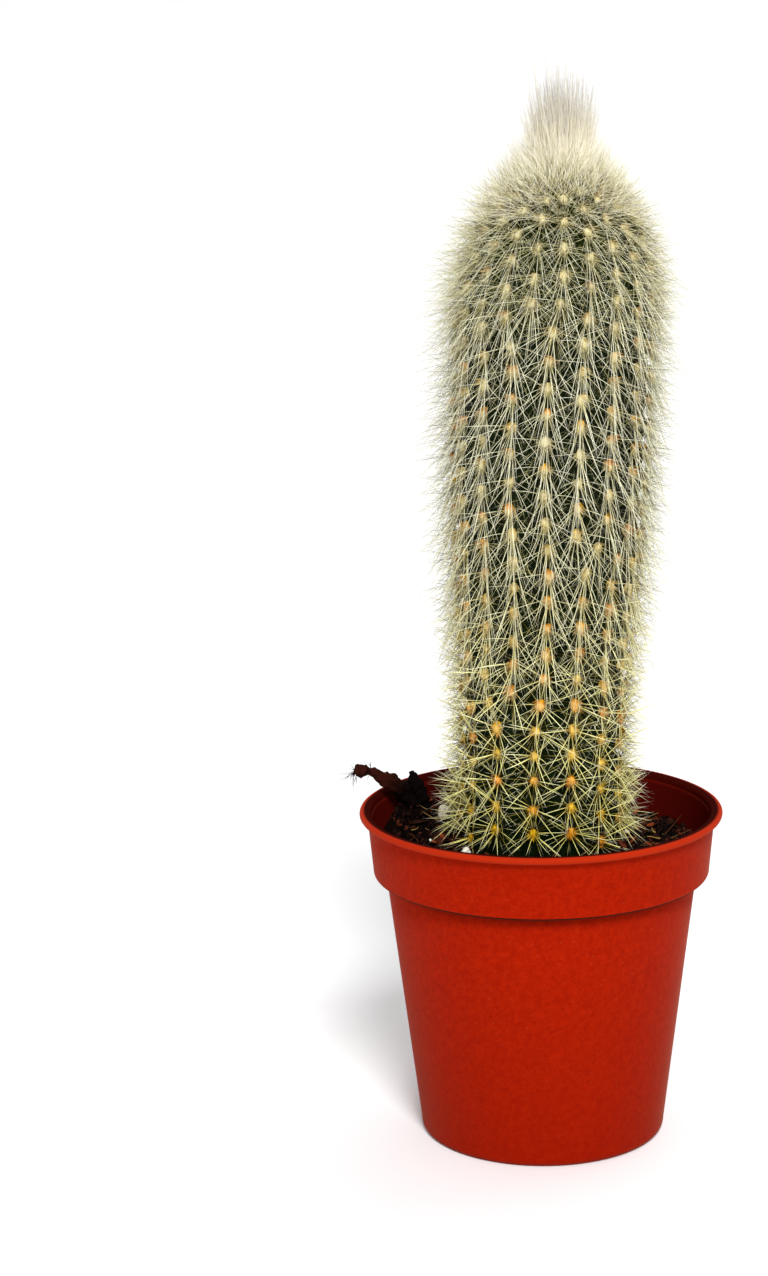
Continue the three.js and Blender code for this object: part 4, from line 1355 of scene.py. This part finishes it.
SPINE_FINISHES = (
    SpineFinish(
        name="bright_spine",
        root=(226, 216, 146),
        shaft=(255, 254, 226),
        tip=(255, 253, 232),
        old_root=(236, 206, 80),
        old_shaft=(255, 250, 146),
        unevenness=0.08,
    ),
    SpineFinish(
        name="deep_spine",
        # painted shade: the near-black root, fading out over much of the length, stands for the shadow deep
        # among the spines; it is paler low on the stem
        root=(14, 18, 3),
        shaft=(254, 248, 172),
        tip=(255, 254, 214),
        old_root=(132, 112, 22),
        old_shaft=(255, 248, 136),
        unevenness=0.12,
        foot=(0.28, 0.78),
    ),
    SpineFinish(
        name="soft_hair",
        root=(152, 142, 86),
        shaft=(252, 246, 212),
        tip=(244, 236, 226),
        # painted shade: the older hairs' near-black root stands for the shadow deep among the spines
        old_root=(24, 26, 4),
        old_shaft=(252, 239, 180),
        foot=(0.3, 0.85),
        ageing=(0.12, 0.36),
    ),
    SpineFinish(
        name="crown_fur",
        root=(214, 204, 146),
        shaft=(253, 247, 208),
        tip=(248, 244, 226),
        # painted shade: the older fur's near-black root stands for the shadow among the crown's spines
        old_root=(18, 21, 3),
        old_shaft=(250, 243, 176),
        foot=(0.14, 0.6),
        ageing=(0.05, 0.14),
    ),
    SpineFinish(
        name="young_bristle",
        root=(255, 246, 184),
        shaft=(246, 238, 212),
        tip=(164, 160, 168),
        old_root=(232, 222, 170),
        unevenness=0.08,
    ),
    SpineFinish(
        name="crown_down", root=(255, 246, 178), shaft=(253, 247, 222), tip=(240, 236, 224), unevenness=0.05
    ),
)


@dataclass
class Cactus:
    """The plant: its skin, the felt of its areoles, its spines and the tuft at its tip."""

    stem: Stem
    soil: Soil
    effects: Effects
    seed: int = 2026
    foot_rings: Table = ((3.0, 67.3), (11.0, 70.0), (19.5, 80.0), (22.0, 84.0))
    foot_tip: float = 67.0
    young_sunk: float = 0.4  # depth under the crests at which a rib starts
    groove_power: float = 1.6
    swelling: Span = (0.8, 2.4)  # under an areole: height and reach
    notch: tuple[float, float, float] = (0.5, 3.2, 0.9)  # above an areole: depth, distance and reach
    cushion_thickness: float = 0.75  # share of the half width, as is the lift
    cushion_lift: float = 0.4
    cushion_share: float = 0.85  # of the half sizes, which the wool fills
    cushion_bulk: Span = (0.88, 1.0)  # on the crown and below it
    cushion_form: tuple[float, int, int] = (0.16, 3, 7)  # roughness, rings and sides
    wool_hairs: int = 52
    wool_reach: float = 0.92
    wool_way: tuple[float, float, float] = (0.8, 0.35, -0.6)  # out, up with the root's place, and up
    wool_length: Span = (0.9, 2.6)
    wool_width: Span = (0.16, 0.32)
    wool_size: float = 1.3  # half width at which the lengths hold
    combed_from: Span = (128, 165)  # heights over which the comb sets in, as the next ones are
    combed_to: Span = (262, 276)
    crown_from: Span = (264, 278)
    crown_closing: float = 0.45  # share of the tilt that is lost on the crown
    crown_rise: float = 0.35  # how far spines are pulled up there
    comb_sag: float = 0.14  # bend of a combed spine, down the rib
    root_lift: float = 0.45  # of the spines' roots, as a share of the cushion's half width
    slim_from: Span = (242, 262)
    slimmest: float = 0.6
    stoutest: float = 0.35  # how much thicker the oldest spines are
    stout_to: Span = (115.0, 170.0)
    lee_from: Span = (100, 240)
    tuft_bristles: int = 1500
    tuft_radius: float = 7.6
    tuft_crowding: float = 0.75  # over 0.5, so denser in the middle
    tuft_length: Span = (12.0, 30.0)
    tuft_width: Span = (0.12, 0.19)
    tallest: tuple[float, float, float] = (0.14, 0.9, 1.42)  # how many, how far out, how much longer
    collar_bristles: int = 4700
    collar_span: Span = (3.0, 18.5)
    collar_crowding: float = 1.5
    collar_length: Span = (8.5, 15.5)
    collar_width: Span = (0.12, 0.2)
    collar_lean: tuple[float, float, float] = (12, 90, 15)  # inmost, outmost and scatter, in degrees

    def __post_init__(self) -> None:
        """Places the areoles and makes the finishes of the spines."""
        self.draw = np.random.default_rng(self.seed)
        self.areoles = Areoles.on(self.stem, self.draw)
        self.finishes = {finish.name: finish.build() for finish in SPINE_FINISHES}

    def skin(self) -> None:
        """The stem's skin, with a swelling under each areole and a notch above it.

        Depth below the crest line is sunk + (groove - sunk) |2t|^power for t across a rib, less a
        swelling h exp(-(dz/reach)^2) cos^2(pi t), plus a notch of the same form, higher up.
        """
        stem, areoles = self.stem, self.areoles
        across = np.arange(stem.ribs * stem.columns_per_rib) / stem.columns_per_rib - 0.5
        across = across + 0.5 / stem.columns_per_rib
        fine = np.linspace(stem.first_row, stem.apex - 0.02, 8000)
        walked = stem.walked(fine)
        heights = np.interp(np.linspace(0, walked[-1], stem.rows_of_skin), walked, fine)
        z, place = np.meshgrid(heights, across, indexing="ij")
        rib = np.round(place).astype(int)
        t = place - rib
        deep = stem.groove(z)
        sunk = self.young_sunk + (deep - self.young_sunk) * (1 - stem.width_at(place, z))
        depth = sunk + (deep - sunk) * np.abs(2 * t) ** self.groove_power
        away = np.full(z.shape, 99.0)
        for number in range(stem.ribs):
            mine = rib == number
            offsets = z[mine][:, None] - areoles.z[areoles.rib == number]
            away[mine] = np.take_along_axis(offsets, np.abs(offsets).argmin(1)[:, None], 1)[:, 0]
        across_rib = np.cos(math.pi * t) ** 2
        tall, wide = self.swelling
        depth = depth - tall * np.exp(-((away / wide) ** 2)) * across_rib
        cut, above, wide = self.notch
        depth = depth + cut * np.exp(-(((away - above) / wide) ** 2)) * across_rib
        turn = stem.azimuth(across, np.full(len(across), stem.first_row))
        round_foot = np.stack([np.sin(turn), -np.cos(turn), 0 * turn], -1)
        foot = [radius * round_foot + height * UP for radius, height in self.foot_rings]
        rings = np.concatenate([np.array(foot), stem.point(place, z, depth)])
        draft = closed_skin(rings, self.foot_tip * UP, np.array([stem.lean(stem.apex), 0, stem.apex]))
        draft.numbers = {AGE: stem.age(draft.vertices[:, 2])}
        draft.piece("stem_skin", StemSkin(effects=self.effects).build(), Part.CACTUS)

    def felt(self) -> None:
        """The cushions of felt, each a flattened lump covered with short wool."""
        areoles, draw = self.areoles, self.draw
        wide, high = areoles.half_width, areoles.half_height
        thick = self.cushion_thickness * wide
        halves = ((areoles.side, wide), (areoles.up, high), (areoles.out, thick))
        axes = np.stack([way * column(half) for way, half in halves], 1)
        bulk = self.cushion_share * blend(*self.cushion_bulk, rise(0.05, 0.3, areoles.age))
        middles = areoles.centre + areoles.out * column(self.cushion_lift * wide)
        cushions = lumps(draw, middles, axes * bulk[:, None, None], *self.cushion_form)
        of = np.repeat(np.arange(len(wide)), len(cushions.vertices) // len(wide))
        lift = np.einsum("ij,ij->i", cushions.vertices - areoles.centre[of], areoles.up[of])
        top = 0.5 + 0.5 * np.clip(lift / high[of], -1, 1)
        cushions.numbers = {TONE: areoles.tone[of], AGE: areoles.age[of], TOP: top}

        pick = np.repeat(np.arange(len(wide)), self.wool_hairs)
        count = len(pick)
        age, out = areoles.age[pick], areoles.out[pick]
        turn = draw.uniform(0, FULL_TURN, count)
        off = np.sqrt(draw.random(count))
        sideways = column(np.cos(turn) * off) * areoles.side[pick]
        upwards = column(np.sin(turn) * off) * areoles.up[pick]
        spread = sideways * column(wide[pick]) + upwards * column(high[pick])
        roots = areoles.centre[pick] + self.wool_reach * spread + out * column(0.85 * thick[pick])
        outs, ups, falls = self.wool_way
        ways = out * outs + sideways + ups * upwards + falls * areoles.up[pick]
        ways = unit(ways + draw.normal(0, 0.25, (count, 3)))
        tones = np.clip(areoles.tone[pick] + draw.normal(0, 0.12, count), 0, 1)
        lengths = draw.uniform(*self.wool_length, count) * wide[pick] / self.wool_size
        lengths = lengths * blend(1.2, 0.7, rise(0.1, 0.85, age))
        widths = draw.uniform(*self.wool_width, count)
        bends = draw.normal(0, 0.15, (count, 3))
        wool = Bristles(roots, ways, lengths, widths, bends, tones, age).draft(1)
        wool.numbers[TOP] = np.repeat(0.5 + 0.5 * np.sin(turn) * off, len(wool.vertices) // count)
        together([cushions, wool]).piece("areole_felt", Wool(effects=self.effects).build(), Part.CACTUS)

    def stand(self, kind: SpineKind, habit: Habit) -> None:
        """Spines of one kind on every areole that bears them.

        A spine's way is out cos(tilt) + (side cos b + up sin b) sin(tilt), for even turns b with a
        little scatter. Where the stem is combed, b is drawn into a fan round straight down and the
        way is pulled down. On the crown the spines stand further out and lean upwards. Gathered
        spines grow from the low lengths to the full ones as the comb sets in. Spines are stouter
        towards the soil, and longer by the habit's lee where the stem leans away.

        Args:
            kind: The kind of spine.
            habit: How it stands.
        """
        areoles, draw = self.areoles, self.draw
        bearing = np.flatnonzero(areoles.z > habit.lowest)
        pick = np.repeat(bearing, habit.count)
        number = np.tile(np.arange(habit.count), len(bearing))
        count, z = len(pick), areoles.z[pick]
        begun, ended = rise(*self.combed_from, z), rise(*self.combed_to, z)
        combed, crown = begun * (1 - ended), rise(*self.crown_from, z)
        whole = (number + draw.uniform(-0.5, 0.5, count) + 0.5) / habit.count - 0.5
        gathered = draw.random(count) < combed
        turn = np.radians(whole * np.where(gathered, 2 * habit.fan, 360) - 90)
        tilt = np.radians(draw.uniform(*habit.tilt, count)) * (1 - self.crown_closing * crown)
        side, up, out = areoles.side[pick], areoles.up[pick], areoles.out[pick]
        wide, high = areoles.half_width[pick], areoles.half_height[pick]
        across = side * column(np.cos(turn)) + up * column(np.sin(turn))
        ways = out * column(np.cos(tilt)) + across * column(np.sin(tilt))
        ways = ways + up * column(self.crown_rise * crown - habit.drop * combed)
        ways = unit(ways + draw.normal(0, 0.06, (count, 3)))
        share = draw.random(count)
        lengths = blend(blend(*habit.low_length, share), blend(*habit.length, share), begun * gathered)
        lengths = blend(lengths, blend(*habit.crown_length, share), ended)
        lengths = lengths * (1 + habit.lee * np.clip(-out[:, 0], 0, 1) * rise(*self.lee_from, z))
        spread = side * column(np.cos(turn) * wide) + up * column(np.sin(turn) * high)
        roots = areoles.centre[pick] + habit.reach * spread + out * column(self.root_lift * wide)
        bends = draw.normal(0, habit.bend, (count, 3)) - up * column(self.comb_sag * combed)
        slim = blend(1.0, self.slimmest, rise(*self.slim_from, z)) if habit.slims else 1.0
        stout = 1 + self.stoutest * (1 - rise(*self.stout_to, z))
        widths = draw.uniform(*habit.thickness, count) * slim * stout
        spines = Bristles(roots, ways, lengths, widths, bends, draw.random(count), areoles.age[pick])
        draft = spines.clear_of(self.soil.height).draft(habit.stations)
        draft.piece(kind.value, self.finishes[habit.finish], Part.CACTUS)

    def over_dome(self, off: Array) -> tuple[Array, Array]:
        """Places on the dome, a little under the crests, at distances from the stem's middle line.

        Args:
            off: The distances.

        Returns:
            The places, all round, and the level ways outwards.
        """
        stem = self.stem
        turn = self.draw.uniform(0, FULL_TURN, len(off))
        heights = np.linspace(stem.dome_start, stem.apex, 400)
        z = np.interp(off, stem.crest_radius(heights)[::-1], heights[::-1]) - 0.8
        level = np.column_stack([np.sin(turn), -np.cos(turn), 0 * turn])
        return level * column(off) + np.column_stack([stem.lean(z), 0 * z, z]), level

    def tuft(self) -> None:
        """The tall bristles of the crown, opening a little outwards, a few of them taller still."""
        draw, count = self.draw, self.tuft_bristles
        off = self.tuft_radius * draw.random(count) ** self.tuft_crowding
        roots, level = self.over_dome(off)
        share = off / self.tuft_radius
        ways = level * column(0.02 + 0.12 * share**2) + [-0.02, 0, 1] + draw.normal(0, 0.075, (count, 3))
        many, within, longer = self.tallest
        tall = np.where((draw.random(count) < many) & (share < within), longer, 1.0)
        lengths = blend(*self.tuft_length, draw.random(count) ** 0.8) * (1 - 0.06 * share**2) * tall
        bends, widths = draw.normal(0, 0.04, (count, 3)), draw.uniform(*self.tuft_width, count)
        bristles = Bristles(roots, unit(ways), lengths, widths, bends, draw.random(count), np.zeros(count))
        bristles.draft(3).piece("crown_tuft", self.finishes["young_bristle"], Part.CACTUS)

    def collar(self) -> None:
        """The young bristles round the tuft: upright beside it and nearly level further out.

        For a share s of the way outwards, the length is multiplied by
        1 - 0.4 s + 0.35 (1 - s)^3 - 0.24 sin(pi s), and is longer towards -X.
        """
        draw, count = self.draw, self.collar_bristles
        near, far = self.collar_span
        off = near + (far - near) * draw.random(count) ** self.collar_crowding
        roots, level = self.over_dome(off)
        share = (off - near) / (far - near)
        inmost, outmost, scatter = self.collar_lean
        lean = np.radians(blend(inmost, outmost, share**0.7) + draw.normal(0, scatter, count))
        ways = level * column(np.sin(lean)) + UP * column(np.cos(lean)) + draw.normal(0, 0.1, (count, 3))
        drop = 1 - 0.4 * share + 0.35 * (1 - share) ** 3 - 0.24 * np.sin(np.pi * share)
        lengths = blend(*self.collar_length, draw.random(count)) * drop
        lengths = lengths * (1 + 0.4 * share * np.clip(-level[:, 0], 0, 1))
        bends, widths = draw.normal(0, 0.1, (count, 3)), draw.uniform(*self.collar_width, count)
        bristles = Bristles(roots, unit(ways), lengths, widths, bends, draw.random(count), 0.08 * share)
        bristles.draft(2).piece("crown_collar", self.finishes["crown_down"], Part.CACTUS)

    def build(self) -> None:
        """Makes every piece of the plant."""
        self.skin()
        self.felt()
        for kind, habit in HABITS.items():
            self.stand(kind, habit)
        self.tuft()
        self.collar()


# ---- Studio ----


@dataclass
class Studio:
    """Camera, lights and floor."""

    eye: tuple[float, float, float] = (0.0, -818.2, 328.5)
    right: tuple[float, float, float] = (0.99857, 0.05033, -0.01802)
    up: tuple[float, float, float] = (0.00670, 0.21664, 0.97623)
    ahead: tuple[float, float, float] = (-0.05303, 0.97495, -0.21600)
    lens: float = 82.5
    sensor: float = 36.0
    clip: Span = (0.05, 300.0)
    fill: float = 0.55  # strength of the sky's light; the backdrop itself is plain white
    floor_half: float = 1e5

    def camera(self) -> None:
        """The camera, from its own three directions."""
        data = bpy.data.cameras.new("camera")
        data.lens, data.sensor_width, data.sensor_fit = self.lens, self.sensor, "AUTO"
        data.clip_start, data.clip_end = self.clip
        turn = Matrix((self.right, self.up, [-value for value in self.ahead])).transposed()
        eye = linked("camera", data)
        eye.matrix_world = Matrix.Translation(Vector(self.eye) * MM) @ turn.normalized().to_4x4()
        bpy.context.scene.camera = eye

    def lamp(self, name: str, place: tuple[float, float, float], softness: float, strength: float) -> None:
        """A soft parallel lamp that shines at the plant.

        Args:
            name: The lamp's name.
            place: Where it hangs, which gives the way of its light.
            softness: Width of its disc, in degrees.
            strength: Its strength.
        """
        data = bpy.data.lights.new(name, "SUN")
        data.angle, data.energy = math.radians(softness), strength
        made = linked(name, data)
        made.location = place
        made.rotation_euler = (-Vector(place)).to_track_quat("-Z", "Y").to_euler()

    def floor(self) -> None:
        """A plain pale floor."""
        corners = self.floor_half * np.array([[-1, -1, 0], [1, -1, 0], [1, 1, 0], [-1, 1, 0]])
        made = Draft(corners, quads=np.array([[0, 1, 2, 3]])).thing("floor", smooth=False)
        material, tree = blank_material("floor_paper")
        tree.principled((0.9, 0.9, 0.9, 1), 0.8)
        made.data.materials.append(material)

    def build(self) -> None:
        """Sets up camera, lamps, sky and floor; only the camera sees the sky at full strength."""
        self.camera()
        self.floor()
        self.lamp("key_lamp", (0.16, -1.0, 0.95), 16, 3.0)
        self.lamp("back_lamp", (0.5, 0.7, 1.3), 50, 0.5)
        world = bpy.data.worlds.new("sky")
        world.use_nodes = True
        back = world.node_tree.nodes["Background"]
        back.inputs["Color"].default_value = (1, 1, 1, 1)
        sky = Tree(world.node_tree)
        seen = sky.node("ShaderNodeLightPath").outputs["Is Camera Ray"]
        sky.feed(back.inputs["Strength"], sky.maths("MULTIPLY_ADD", seen, 1 - self.fill, self.fill))
        bpy.context.scene.world = world
        bpy.context.scene.view_settings.view_transform = "Standard"


def main() -> None:
    """Builds the studio and every piece."""
    logging.basicConfig(level=logging.INFO, format="%(name)s %(message)s")
    Studio().build()
    effects = Effects()
    pot = Pot()
    pot.build(MouldedPlastic(effects=effects))
    soil = Soil(pot, effects)
    soil.body()
    soil.loose()
    DeadRoot(effects).build()
    Cactus(Stem(), soil, effects).build()


if __name__ == "__main__":
    main()
